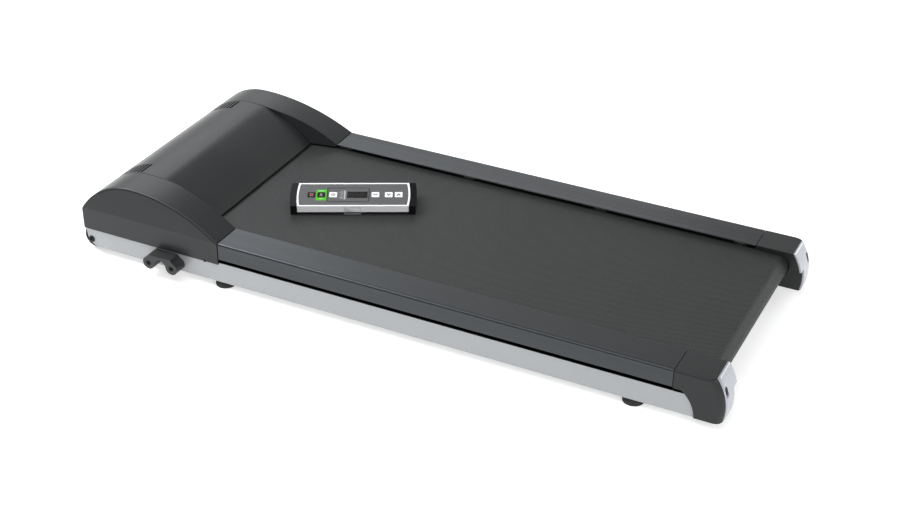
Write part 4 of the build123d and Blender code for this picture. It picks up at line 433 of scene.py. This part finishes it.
hood_plastic = coated("charcoal_hood", (0.0165, 0.0175, 0.018), (0.018, 0.019, 0.0195), (0.3, 0.36), grain=1900.0,
                      depth=0.000006, Specular_IOR_Level=0.36)
dress(hood_plastic, "hood_center_panel", "hood_side_left", "hood_side_right")
panel_shading = frame["nodes"]["hood_center_panel"].modifiers
panel_shading.new("joined_corners", "WELD").merge_threshold = WELD_REACH
parted = panel_shading.new("parted_rims", "EDGE_SPLIT")
parted.split_angle = SHARP_FROM
parted.use_edge_sharp = False
panel_shading.new("soft_break_line", "WEIGHTED_NORMAL")

RIB_DEPTH = 0.6
RIB_STEPS = 4
CROSS_ARM_STEPS = 3
CROSS_CORE = 0.4


def outline_reach(shape, size, step, steps):
    """Distance of one point of a ring from its axis."""
    if shape == "hex":
        return size / cos((2 * pi * step / steps + pi / 6) % (pi / 3) - pi / 6)
    if shape == "cross":
        return size if (step + 1) % (steps // 4) < CROSS_ARM_STEPS else CROSS_CORE * size
    if shape == "ribbed":
        return size - (RIB_DEPTH if step % RIB_STEPS < RIB_STEPS // 2 else 0.0)
    return size


def turned_form(rings, steps, base, along):
    """Points and faces of a form with rings of (shape, reach, distance along its axis) in millimetres."""
    first = Vector((1, 0, 0))
    second = along.cross(first)
    points = []
    for shape, size, rise in rings:
        for step in range(steps):
            angle = 2 * pi * step / steps
            reach = outline_reach(shape, size, step, steps)
            points.append(base + (along * rise + (first * cos(angle) + second * sin(angle)) * reach) * MM)
    faces = [tuple(reversed(range(steps)))]
    for ring in range(len(rings) - 1):
        for step in range(steps):
            after = (step + 1) % steps
            faces.append((ring * steps + step, ring * steps + after,
                          (ring + 1) * steps + after, (ring + 1) * steps + step))
    faces.append(tuple(range((len(rings) - 1) * steps, len(rings) * steps)))
    return points, faces


SCREW_STEPS = 36


def side_screws(name, rings, x_places, seat_y, z, node):
    """The same screw on both sides of the frame, in one piece with its like."""
    points, faces = [], []
    for x in x_places:
        for side in (-1, 1):
            base = Vector((x, side * seat_y, z)) * MM
            more_points, more_faces = turned_form(rings, SCREW_STEPS, base, Vector((0, side, 0)))
            faces += [tuple(corner + len(points) for corner in face) for face in more_faces]
            points += more_points
    surface(name, points, faces, "root", "black_steel", black_oxide, node)


black_oxide = machined("black_oxide", (0.02, 0.02, 0.021), (0.035, 0.035, 0.036), (0.3, 0.42))
WEB_Y = 316.5
HOOD_SCREW_X, HOOD_SCREW_Z = -458.0, 65.5
PAN_HEAD = [("round", 1.9, -10.0), ("round", 2.5, -9.2), ("round", 2.5, 0.0), ("round", 3.9, 0.0),
            ("round", 4.2, 0.5), ("round", 4.0, 1.5), ("round", 3.3, 2.3), ("round", 2.5, 2.6),
            ("cross", 1.9, 2.6), ("cross", 1.5, 1.1)]
side_screws("hood_pan_screws", PAN_HEAD, (HOOD_SCREW_X,), WEB_Y, HOOD_SCREW_Z, "hood_screws")

# Foot rails
# Extruded aluminium angles, anodised dark grey, with shallow flutes along the tread.
# They clip onto the deck, their skirts hang over the channels, and lines from the die run along them.

drawn_lines, given, made = effect("drawn_lines", {"Scale": 1.0}, ("Height", "Tone"))
lines = add(drawn_lines, "TexNoise", Vector=stretched(drawn_lines, (0.4, 700, 700)), Detail=1.0,
            Scale=given.outputs["Scale"])
streaks = add(drawn_lines, "TexNoise", Vector=stretched(drawn_lines, (0.5, 90, 90)), Detail=2.0,
              Scale=given.outputs["Scale"])
drawn_lines.links.new(lines.outputs[0], made.inputs["Height"])
drawn_lines.links.new(ranged(drawn_lines, streaks.outputs[0], 0.3, 0.7, 0.0, 1.0), made.inputs["Tone"])

LINE_DEPTH = 0.001 * MM
rail_finish, tree, shader = new_finish("dark_anodised_rail", Metallic=0.85)
drawn = placed(tree, drawn_lines, Scale=1.0)
anodised = mixed(tree, drawn["Tone"], (0.054, 0.0575, 0.0612), (0.063, 0.0672, 0.0715))
tree.links.new(anodised, shader.inputs["Base Color"])
tree.links.new(ranged(tree, drawn["Tone"], 0.0, 1.0, 0.36, 0.3), shader.inputs["Roughness"])
relief(tree, shader, drawn["Height"], LINE_DEPTH)

RAIL_EDGE = 6.0 * MM
RAIL_LIP = 1.6 * MM
RAIL_PLATE = 4.0 * MM
RAIL_WALL = 3.0 * MM
FLUTES = 11
FLUTE_PITCH = 5.5 * MM
FLUTE_DEPTH = 0.1 * MM
FLUTE_INSET = 7.25 * MM
FLUTE_STEPS = 8
RAIL_CORNER_STEPS = 6


def quarter_turn(y, z, radius, start):
    """A round corner of the rail's section, about its centre."""
    turns = [start + pi / 2 * step / RAIL_CORNER_STEPS for step in range(RAIL_CORNER_STEPS + 1)]
    return [(y + radius * cos(turn), z + radius * sin(turn)) for turn in turns]


def rail_section(inner, outer, foot, top):
    """The angle's outline, up the skirt and inward over the fluted tread."""
    outline = [(outer, foot)] + quarter_turn(outer - RAIL_EDGE, top - RAIL_EDGE, RAIL_EDGE, 0.0)
    first = inner + FLUTE_INSET + FLUTES * FLUTE_PITCH
    for step in range(FLUTES * FLUTE_STEPS + 1):
        sink = FLUTE_DEPTH * (1 - cos(2 * pi * step / FLUTE_STEPS)) / 2
        outline.append((first - step * FLUTE_PITCH / FLUTE_STEPS, top - sink))
    outline += quarter_turn(inner + RAIL_LIP, top - RAIL_LIP, RAIL_LIP, pi / 2)
    outline += quarter_turn(inner + RAIL_LIP, top - RAIL_PLATE + RAIL_LIP, RAIL_LIP, pi)
    return outline + [(outer - RAIL_WALL, top - RAIL_PLATE), (outer - RAIL_WALL, foot)]


for rail, side in (("foot_rail_left", -1), ("foot_rail_right", 1)):
    rail_low, rail_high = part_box(rail)
    inner, outer = sorted((abs(rail_low.y), abs(rail_high.y)))
    outline = rail_section(inner, outer, rail_low.z, rail_high.z)
    count = len(outline)
    points = [(x, side * y, z) for x in (rail_low.x, rail_high.x) for y, z in outline]
    faces = []
    for here in range(count):
        after = (here + 1) % count
        faces.append((here, after, count + after, count + here))
    faces += [tuple(reversed(range(count))), tuple(range(count, 2 * count))]
    outward = [face[::side] for face in faces]
    fluted = surface(rail + "_fluted", points, outward, "root", "rail_aluminium", rail_finish, rail)
    fluted.modifiers.new("even_shading", "WEIGHTED_NORMAL").keep_sharp = True

# Rear caps, end plates and tension bolts
# Charcoal mouldings over the roller's ends, with plates lacquered silver snapped onto them.
# A zinc plated bolt behind each oval hole pulls the rear axle tight.

dress(hood_plastic, "rear_cap_left", "rear_cap_right")
silver_lacquer = coated("silver_lacquer", (0.42, 0.435, 0.465), (0.45, 0.465, 0.495), (0.26, 0.32), grain=2600.0,
                        depth=0.000008, Metallic=0.5, Coat_Weight=0.2, Coat_Roughness=0.2)
dress(silver_lacquer, "rear_plate_left", "rear_plate_right")
zinc_plate = machined("zinc_plate", (0.5, 0.51, 0.52), (0.6, 0.61, 0.62), (0.25, 0.36))
dress(zinc_plate, "deck_screws", "tension_bolt_left", "tension_bolt_right")

# Transport wheels
# Moulded in black plastic with a dished hub.
# Each turns on a shoulder bolt through the nose of its channel, with a nut behind.

dress(black_moulding, "transport_wheel_left", "transport_wheel_right")
soften(0.5 * MM, "transport_wheel_left", "transport_wheel_right")
SHOULDER_BOLT = [("hex", 6.9, -38.9), ("hex", 6.9, -32.9), ("round", 5.0, -32.9), ("round", 5.0, -10.1),
                 ("round", 8.0, -10.1), ("round", 8.0, -2.5), ("round", 5.0, -2.5), ("round", 5.0, 0.0),
                 ("round", 8.1, 0.0), ("round", 8.5, 0.5), ("round", 8.3, 1.8), ("round", 7.2, 3.2),
                 ("round", 5.4, 4.0), ("hex", 3.4, 4.0), ("hex", 3.0, 3.6), ("hex", 3.0, 1.2)]
WHEEL_X, WHEEL_Z = -789.0, 36.0
side_screws("wheel_shoulder_bolts", SHOULDER_BOLT, (WHEEL_X,), WEB_Y, WHEEL_Z, "wheel_bolts")

# Side brackets
# Saddle brackets moulded in black plastic, each fixed to its channel by two socket cap screws.
# Their heads sit deep in counterbores.

dress(black_moulding, "side_bracket_left", "side_bracket_right")
soften(1.2 * MM, "side_bracket_left", "side_bracket_right")
CAP_SCREW = [("round", 3.2, -37.0), ("round", 4.0, -36.2), ("round", 4.0, 0.0), ("round", 5.6, 0.0),
             ("round", 6.0, 0.4), ("round", 6.0, 4.3), ("round", 5.3, 5.0), ("hex", 2.9, 5.0),
             ("hex", 2.5, 4.6), ("hex", 2.5, 2.2)]
BRACKET_SCREWS_X = (-598.0, -533.5)
COUNTERBORE_Y = 343.0
BRACKET_SCREW_Z = 38.0
side_screws("bracket_cap_screws", CAP_SCREW, BRACKET_SCREWS_X, COUNTERBORE_Y, BRACKET_SCREW_Z, "bracket_screws")

# Levelling feet
# Rubber pads with a notched rim for the fingers, moulded on zinc plated threaded studs.
# The studs screw into the lower flange of the channels.

FOOT_PAD = [("round", 21.5, 0.0), ("round", 24.2, 0.4), ("ribbed", 25.0, 1.4), ("ribbed", 25.0, 5.2),
            ("round", 24.2, 6.0), ("round", 19.8, 11.6), ("round", 18.6, 12.5)]
PAD_STEPS = 72
STUD_STEPS = 24
STUD_RADIUS = 5.0
THREAD_PITCH = 1.5
THREAD_DEPTH = 0.6
STUD_START = 12.0
STUD_TOP = 40.0
stud = [("round", STUD_RADIUS - THREAD_DEPTH, STUD_START)]
while stud[-1][2] + THREAD_PITCH < STUD_TOP:
    root_rise = stud[-1][2]
    stud += [("round", STUD_RADIUS, root_rise + THREAD_PITCH / 2),
             ("round", STUD_RADIUS - THREAD_DEPTH, root_rise + THREAD_PITCH)]
stud.append(("round", STUD_RADIUS - 2 * THREAD_DEPTH, STUD_TOP))
straight_up = Vector((0, 0, 1))
for foot in ("foot_front_left", "foot_front_right", "foot_rear_left", "foot_rear_right"):
    foot_low, foot_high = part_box(foot)
    base = Vector(((foot_low.x + foot_high.x) / 2, (foot_low.y + foot_high.y) / 2, foot_low.z))
    surface(foot + "_pad", *turned_form(FOOT_PAD, PAD_STEPS, base, straight_up), foot, "rubber", rubber, foot)
    surface(foot + "_stud", *turned_form(stud, STUD_STEPS, base, straight_up), foot, "zinc_steel", zinc_plate)

# Console body
# A silver lacquered body between two black end caps, with a printed grey sheet let into its top.
# It lies loose on the belt.

console_silver = coated("console_silver", (0.9, 0.9, 0.91), (0.92, 0.92, 0.93), (0.24, 0.3), grain=2600.0,
                        depth=0.000006, Coat_Weight=0.2, Coat_Roughness=0.2)
dress(console_silver, "console_housing")
end_cap_plastic = coated("console_end_plastic", (0.006, 0.006, 0.007), (0.008, 0.008, 0.009), (0.2, 0.26),
                         grain=2400.0, depth=0.000006, Specular_IOR_Level=0.1)
dress(end_cap_plastic, "console_end_caps")
soften(0.4 * MM, "console_housing", "console_end_caps")
printed_sheet = coated("printed_front_sheet", (0.088, 0.088, 0.089), (0.093, 0.093, 0.094), (0.42, 0.5),
                       grain=3000.0, depth=0.00001, Specular_IOR_Level=0.35)
dress(printed_sheet, "console_overlay")


def middle(node):
    """Centre of a CAD node."""
    low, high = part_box(node)
    return (low + high) / 2


SHEET_THICKNESS = 1.0 * MM
press = next(joint["axis"] for joint in frame["joints"] if joint["name"] == "stop_key_press")
sheet_up = -Vector(press).normalized()
key_row = (middle("up_key") - middle("stop_key")).normalized()
sheet_back = sheet_up.cross(key_row)
sheet_middle = middle("console_overlay") + sheet_up * SHEET_THICKNESS / 2


def on_sheet(along, back, rise):
    """A point over the front sheet, from millimetres along its key row, back across it and up from it."""
    return sheet_middle + (key_row * along + sheet_back * back + sheet_up * rise) * MM


INK = 0.06


def printed(name, shapes, rise, body, slot, material):
    """Thin ink from closed outlines, each with its inner edge where it is a ring."""
    points, faces = [], []
    for outer, *inner in shapes:
        rings = []
        for loop in (outer, *inner):
            for level in (rise, rise + INK):
                rings.append(range(len(points), len(points) + len(loop)))
                points += [on_sheet(along, back, level) for along, back in loop]
        low, high = rings[:2]
        for corner in range(len(outer)):
            after = (corner + 1) % len(outer)
            faces.append((low[corner], low[after], high[after], high[corner]))
            if inner:
                inner_low, inner_high = rings[2:]
                faces += [(high[corner], high[after], inner_high[after], inner_high[corner]),
                          (inner_low[corner], inner_low[after], low[after], low[corner]),
                          (inner_high[corner], inner_high[after], inner_low[after], inner_low[corner])]
        if not inner:
            faces += [tuple(high), tuple(reversed(low))]
    return surface(name, points, faces, body, slot, material)


CORNER_STEPS = 5


def rounded(along, back, width, depth, radius):
    """Outline of a rectangle with rounded corners."""
    outline = []
    for corner, (side, end) in enumerate(((1, -1), (1, 1), (-1, 1), (-1, -1))):
        for step in range(CORNER_STEPS + 1):
            angle = pi / 2 * (corner - 1 + step / CORNER_STEPS)
            outline.append((along + side * (width / 2 - radius) + radius * cos(angle),
                            back + end * (depth / 2 - radius) + radius * sin(angle)))
    return outline


OVAL_STEPS = 32


def oval(along, back, width, depth):
    """Outline of an oval."""
    turns = [2 * pi * step / OVAL_STEPS for step in range(OVAL_STEPS)]
    return [(along + width / 2 * cos(turn), back + depth / 2 * sin(turn)) for turn in turns]


KEY_ROW = -1.5
STOP, START, MODE, SELECT, DOWN, UP = -101.8, -78.0, -49.2, 53.2, 85.4, 109.4
KEY_OPENING = (19.6, 20.9, 2.6)
SURROUND_SIZE = (25.0, 43.4, 2.6)
SURROUND_SHIFT = 0.5
UPPER_BAR = (START, 14.5, 14.0, 2.0, 0.6)
LOWER_BAR = (START, -17.0, 10.0, 1.8, 0.6)
FRAME_MIDDLE = (-12.75, -1.0)
FRAME_WIDTH, FRAME_DEPTH = 102.5, 56.0
FRAME_LINE = 1.8
FRAME_CORNER, FRAME_INNER_CORNER = 4.0, 2.2
TICK_LENGTHS = (8.0, 11.5, 6.0, 9.5, 7.5, 10.5, 8.5)
TICK_STEP = 5.2
TICK_END = -24.6
TICK_WIDTH, TICK_CORNER = 1.5, 0.4
STRIP_ALONG, STRIP_BACK = -21.2, -1.8
STRIP_SIZE = (3.6, 36.0, 1.0)
DOT_SIZE = (1.9, 1.9, 0.5)

green_print = coated("green_print", (0.055, 0.4, 0.002), (0.062, 0.44, 0.003), (0.4, 0.48), grain=3000.0,
                     Specular_IOR_Level=0.12)
dark_print = coated("dark_print", (0.01, 0.01, 0.011), (0.013, 0.013, 0.014), (0.4, 0.48), grain=3000.0,
                    Specular_IOR_Level=0.12)
pale_print = coated("pale_print", (0.5, 0.5, 0.5), (0.56, 0.56, 0.56), (0.4, 0.48), grain=3000.0)
grey_print = coated("grey_print", (0.34, 0.34, 0.34), (0.38, 0.38, 0.38), (0.4, 0.48), grain=3000.0)

surround_edge = rounded(START, KEY_ROW - SURROUND_SHIFT, *SURROUND_SIZE)
surround_opening = rounded(START, KEY_ROW, *KEY_OPENING)
printed("start_key_surround", [(surround_edge, surround_opening)], 0.0, "console", "console_sheet", green_print)
bars = [(rounded(*UPPER_BAR),), (rounded(*LOWER_BAR),)]
printed("start_key_bars", bars, INK, "console", "console_sheet", pale_print)
frame_edge = rounded(*FRAME_MIDDLE, FRAME_WIDTH, FRAME_DEPTH, FRAME_CORNER)
frame_opening = rounded(*FRAME_MIDDLE, FRAME_WIDTH - 2 * FRAME_LINE, FRAME_DEPTH - 2 * FRAME_LINE,
                        FRAME_INNER_CORNER)
printed("mode_frame", [(frame_edge, frame_opening)], 0.0, "console", "console_sheet", dark_print)
middle_tick = len(TICK_LENGTHS) // 2
tick_places = [STRIP_BACK + TICK_STEP * (middle_tick - number) for number in range(len(TICK_LENGTHS))]
ticks = [(rounded(TICK_END - length / 2, place, length, TICK_WIDTH, TICK_CORNER),)
         for length, place in zip(TICK_LENGTHS, tick_places)]
printed("mode_ticks", ticks, 0.0, "console", "console_sheet", grey_print)
strip = rounded(STRIP_ALONG, STRIP_BACK, *STRIP_SIZE)
printed("mode_strip", [(strip,)], 0.0, "console", "console_sheet", grey_print)
dots = [(rounded(STRIP_ALONG, place, *DOT_SIZE),) for place in tick_places]
printed("mode_dots", dots, INK, "console", "console_sheet", pale_print)

# Console display
# A smoked window over a row of unlit seven-segment digits.
# The digits show as faint grey bars.

smoked = coated("smoked_window", (0.007, 0.006, 0.006), (0.009, 0.008, 0.008), (0.2, 0.26), grain=600.0,
                depth=0.000002, Specular_IOR_Level=0.2)
dress(smoked, "console_display")
unlit = coated("unlit_segments", (0.017, 0.0155, 0.0155), (0.02, 0.0185, 0.0185), (0.3, 0.38), grain=600.0,
               Specular_IOR_Level=0.2)
DISPLAY_MIDDLE = 9.4
DIGITS = 5
DIGIT_STEP = 9.2
DIGIT_WIDTH = 5.2
DIGIT_HEIGHT = 13.0
SEGMENT = 1.1
SEGMENT_GAP = 0.2
DIGIT_LEAN = 0.1


def segment(along, back, length, upright):
    """Outline of one bar of a digit."""
    half, nib = length / 2 - SEGMENT_GAP, SEGMENT / 2
    bar = [(-half, 0), (-half + nib, -nib), (half - nib, -nib), (half, 0), (half - nib, nib), (-half + nib, nib)]
    if upright:
        bar = [(-v, u) for u, v in bar]
    return [(along + u + DIGIT_LEAN * (back + v - KEY_ROW), back + v) for u, v in bar]


segments = []
for digit in range(DIGITS):
    at = DISPLAY_MIDDLE + DIGIT_STEP * (digit - (DIGITS - 1) / 2)
    for level in (-1, 0, 1):
        segments.append((segment(at, KEY_ROW + level * DIGIT_HEIGHT / 2, DIGIT_WIDTH, False),))
    for side in (-1, 1):
        for level in (-1, 1):
            segments.append((segment(at + side * DIGIT_WIDTH / 2, KEY_ROW + level * DIGIT_HEIGHT / 4,
                                     DIGIT_HEIGHT / 2, True),))
printed("display_digits", segments, 0.0, "console", "display_window", unlit)

# Console keys
# Moulded caps in the openings of the sheet, black for stop and start, white for the others.
# Their signs are printed: bars, a triangle, a ring and arrows.

black_print = coated("black_key_print", (0.006, 0.006, 0.007), (0.008, 0.008, 0.009), (0.4, 0.48), grain=3000.0,
                     Specular_IOR_Level=0.12)
dress(black_print, "stop_key", "start_key")
white_print = coated("white_key_print", (0.84, 0.84, 0.84), (0.88, 0.88, 0.88), (0.42, 0.5), grain=3000.0,
                     depth=0.00001)
dress(white_print, "mode_key", "select_key", "down_key", "up_key")
red_print = coated("red_print", (0.4, 0.022, 0.016), (0.45, 0.028, 0.02), (0.4, 0.48), grain=3000.0,
                   Specular_IOR_Level=0.12)
KEY_PROUD = 0.5
SIGN_BACK = 0.6
RED_BAR = (11.0, 3.6, 0.8)
STOP_LINES = ((4.6, 9.0, 1.3, 0.4), (-4.4, 8.0, 1.2, 0.4))
TRIANGLE = [(-2.4, -1.2), (3.0, 2.0), (-2.4, 5.2)]
START_LINE_BACK, START_LINE = -4.4, (9.0, 1.3, 0.4)
RING_EDGE, RING_OPENING = (11.0, 9.6), (7.0, 5.6)
MODE_BAR = (4.4, 1.3, 0.4)
DASH = (11.5, 3.0, 0.9)
ARROW = [(-5.2, -3.4), (-2.9, -5.0), (0.0, 0.2), (2.9, -5.0), (5.2, -3.4), (0.0, 5.0)]


def key_sign(key, kind, shapes, material):
    """A printed sign that goes down with its key."""
    slot = "black_key" if key in ("stop_key", "start_key") else "white_key"
    printed(f"{key}_{kind}", shapes, KEY_PROUD, key, slot, material)


key_sign("stop_key", "red_bar", [(rounded(STOP, KEY_ROW, *RED_BAR),)], red_print)
stop_lines = [(rounded(STOP, KEY_ROW + back, *size),) for back, *size in STOP_LINES]
key_sign("stop_key", "lines", stop_lines, grey_print)
triangle = [(START + along, KEY_ROW + back) for along, back in TRIANGLE]
key_sign("start_key", "triangle", [(triangle,)], grey_print)
key_sign("start_key", "line", [(rounded(START, KEY_ROW + START_LINE_BACK, *START_LINE),)], grey_print)
ring_edge = oval(MODE, KEY_ROW + SIGN_BACK, *RING_EDGE)
ring_opening = oval(MODE, KEY_ROW + SIGN_BACK, *RING_OPENING)
key_sign("mode_key", "ring", [(ring_edge, ring_opening)], dark_print)
key_sign("mode_key", "bar", [(rounded(MODE, KEY_ROW + SIGN_BACK, *MODE_BAR),)], dark_print)
key_sign("select_key", "dash", [(rounded(SELECT, KEY_ROW + SIGN_BACK, *DASH),)], dark_print)
key_sign("down_key", "arrow", [([(DOWN - along, KEY_ROW - back) for along, back in ARROW],)], dark_print)
key_sign("up_key", "arrow", [([(UP + along, KEY_ROW + back) for along, back in ARROW],)], dark_print)

# Console tab
# A clear acrylic tab on the front of the console, by which it is lifted.
# Its bevelled rim is given a pale, more opaque acrylic, a painted highlight for the light it catches.

TAB_BEVEL = 0.7
TAB_CORNER = 3.0
TAB_WIDTH = 40.5
TAB_THICKNESS = 1.0
tab_low, tab_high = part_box("console_tab")
tab_middle = (tab_low + tab_high) / 2
tab_row = Vector((key_row.x, key_row.y, 0)).normalized()
tab_front = tab_row.cross(straight_up)
tab_height = (tab_high.z - tab_low.z) / MM
tab_points = []
tab_rings = ((TAB_BEVEL, -TAB_THICKNESS / 2), (0.0, -TAB_THICKNESS / 6), (0.0, TAB_THICKNESS / 6),
             (TAB_BEVEL, TAB_THICKNESS / 2))
for inset, out in tab_rings:
    for along, rise in rounded(0, 0, TAB_WIDTH - 2 * inset, tab_height - 2 * inset, TAB_CORNER - inset):
        tab_points.append(tab_middle + (tab_row * along + Vector((0, 0, rise)) + tab_front * out) * MM)
loop = len(tab_points) // len(tab_rings)
last_ring = len(tab_rings) - 1
tab_faces = [tuple(reversed(range(loop))), tuple(range(last_ring * loop, len(tab_points)))]
for ring in range(last_ring):
    for corner in range(loop):
        after = (corner + 1) % loop
        tab_faces.append((ring * loop + corner, ring * loop + after,
                          (ring + 1) * loop + after, (ring + 1) * loop + corner))
clear_acrylic = coated("clear_acrylic", (0.85, 0.86, 0.87), (0.9, 0.91, 0.92), (0.06, 0.1), grain=200.0,
                       depth=0.000002, Alpha=0.04)
# The rim's pale, half-opaque finish is a painted highlight.
rim_painted_highlight = coated("acrylic_rim_painted_highlight", (0.8, 0.81, 0.82), (0.86, 0.87, 0.88), (0.1, 0.16), grain=200.0,
                   depth=0.000002, Alpha=0.6)
tab = surface("console_tab_clear", tab_points, tab_faces, "console", "clear_plastic", clear_acrylic, "console_tab")
tab.data.materials.append(rim_painted_highlight)
for face in tab.data.polygons[2:]:
    face.material_index = 1

# Studio
# A white floor that brightens with distance, in a pale surround that is dimmer above and in front.
# Soft lamps stand overhead, by the hood, along the far rail, beyond the rear end and in front.

FLOOR_SIZE = 60.0
FLOOR_CELLS = 4
FLOOR_WHITE = (0.8, 0.8, 0.8, 1.0)
FLOOR_LIFT = 0.56
FAR_LIFT = 0.95
LIFT_START = 2.0
LIFT_END = 4.5
floor_mesh = bpy.data.meshes.new("studio_floor")
floor_form = bmesh.new()
bmesh.ops.create_grid(floor_form, x_segments=FLOOR_CELLS, y_segments=FLOOR_CELLS, size=FLOOR_SIZE / 2)
floor_form.to_mesh(floor_mesh)
floor_form.free()
floor = bpy.data.objects.new("studio_floor", floor_mesh)
bpy.context.scene.collection.objects.link(floor)
floor_finish = bpy.data.materials.new("studio_white")
floor_finish.use_nodes = True
tree = floor_finish.node_tree
tree.nodes.clear()
rays = tree.nodes.new("ShaderNodeLightPath")
seen = figure(tree, "MAXIMUM", rays.outputs["Is Camera Ray"],
              figure(tree, "MAXIMUM", rays.outputs["Is Glossy Ray"], rays.outputs["Is Transmission Ray"]))
away = tree.nodes.new("ShaderNodeVectorMath")
away.operation = "LENGTH"
tree.links.new(stretched(tree, (1, 1, 1)), away.inputs[0])
lifted = ranged(tree, away.outputs["Value"], LIFT_START, LIFT_END, FLOOR_LIFT, FAR_LIFT)
matte = add(tree, "BsdfDiffuse", Color=FLOOR_WHITE)
lift = add(tree, "Emission", Color=(1.0, 1.0, 1.0, 1.0), Strength=figure(tree, "MULTIPLY", seen, lifted))
both = tree.nodes.new("ShaderNodeAddShader")
tree.links.new(matte.outputs[0], both.inputs[0])
tree.links.new(lift.outputs[0], both.inputs[1])
tree.links.new(both.outputs[0], tree.nodes.new("ShaderNodeOutputMaterial").inputs["Surface"])
floor_mesh.materials.append(floor_finish)

SURROUND_GLOW = 0.9
DIMS_FROM, DIMS_TO = 0.2, 0.95
OVERHEAD_SHARE = 0.1
FRONT, REAR = -0.5, 0.5
FRONT_SHARE = 0.4
world = bpy.data.worlds.new("studio_surround")
bpy.context.scene.world = world
world.use_nodes = True
tree = world.node_tree
tree.nodes.clear()
direction = tree.nodes.new("ShaderNodeSeparateXYZ")
tree.links.new(tree.nodes.new("ShaderNodeTexCoord").outputs["Generated"], direction.inputs[0])
by_height = ranged(tree, direction.outputs["Z"], DIMS_FROM, DIMS_TO, 1.0, OVERHEAD_SHARE)
by_side = ranged(tree, direction.outputs["Y"], FRONT, REAR, FRONT_SHARE, 1.0)
wall = figure(tree, "MULTIPLY", by_height, by_side)
rays = tree.nodes.new("ShaderNodeLightPath")
strength = figure(tree, "MAXIMUM", rays.outputs["Is Camera Ray"], figure(tree, "MULTIPLY", wall, SURROUND_GLOW))
surround = add(tree, "Background", Color=(1.0, 1.0, 1.0, 1.0), Strength=strength)
tree.links.new(surround.outputs[0], tree.nodes.new("ShaderNodeOutputWorld").inputs["Surface"])


def soft_lamp(name, place, aim, width, height, power, colour):
    """A rectangular soft lamp turned towards a point."""
    lamp = bpy.data.lights.new(name, "AREA")
    lamp.shape = "RECTANGLE"
    lamp.size = width
    lamp.size_y = height
    lamp.energy = power
    lamp.color = colour
    holder = bpy.data.objects.new(name, lamp)
    bpy.context.scene.collection.objects.link(holder)
    holder.location = place
    holder.rotation_euler = (Vector(aim) - Vector(place)).to_track_quat("-Z", "Y").to_euler()


soft_lamp("overhead_lamp", (-0.2, -0.9, 3.0), (0.0, 0.0, 0.1), width=3.2, height=2.4, power=50.0,
          colour=(0.98, 0.99, 1.0))
soft_lamp("hood_lamp", (-2.3, 1.9, 2.05), (-0.5, 0.0, 0.15), width=1.2, height=1.6, power=10.5,
          colour=(0.92, 0.96, 1.0))
soft_lamp("edge_lamp", (-2.05, -0.42, 2.1), (-0.65, -0.33, 0.18), width=1.2, height=1.4, power=60.0,
          colour=(0.96, 0.98, 1.0))
soft_lamp("rail_lamp", (-1.0, 2.5, 1.42), (0.0, 0.3, 0.12), width=1.8, height=0.5, power=4.5,
          colour=(0.96, 0.98, 1.0))
soft_lamp("roller_lamp", (1.92, 2.13, 0.96), (0.75, 0.0, 0.1), width=1.6, height=1.0, power=17.0,
          colour=(0.97, 0.98, 1.0))
soft_lamp("plate_lamp", (3.0, -1.6, 1.4), (0.4, -0.2, 0.1), width=1.2, height=1.2, power=26.0,
          colour=(0.98, 0.99, 1.0))
soft_lamp("front_lamp", (1.3, -3.1, 1.7), (-0.2, 0.0, 0.1), width=1.8, height=1.2, power=10.0,
          colour=(0.98, 0.99, 1.0))

# Camera
# The photograph's viewpoint, above the walker's left at the rear end.
# It is set by its place, its line of sight and a slight roll.

EYE = Vector((1.4993, -2.9634, 2.0614))
BACK = Vector((0.37957, -0.76460, 0.52088))
ROLL = radians(0.194)
SENSOR_WIDTH = 36.0
FOCAL_LENGTH = 64.76
camera_data = bpy.data.cameras.new("camera")
camera_data.sensor_width = SENSOR_WIDTH
camera_data.lens = FOCAL_LENGTH
camera = bpy.data.objects.new("camera", camera_data)
bpy.context.scene.collection.objects.link(camera)
right = straight_up.cross(BACK).normalized()
up = BACK.cross(right).normalized()
turned_right = right * cos(ROLL) + up * sin(ROLL)
turned_up = BACK.cross(turned_right).normalized()
camera_axes = Matrix((turned_right, turned_up, BACK.normalized())).transposed()
camera.matrix_world = Matrix.Translation(EYE) @ camera_axes.to_4x4()
bpy.context.scene.camera = camera
bpy.context.scene.view_settings.view_transform = "Standard"
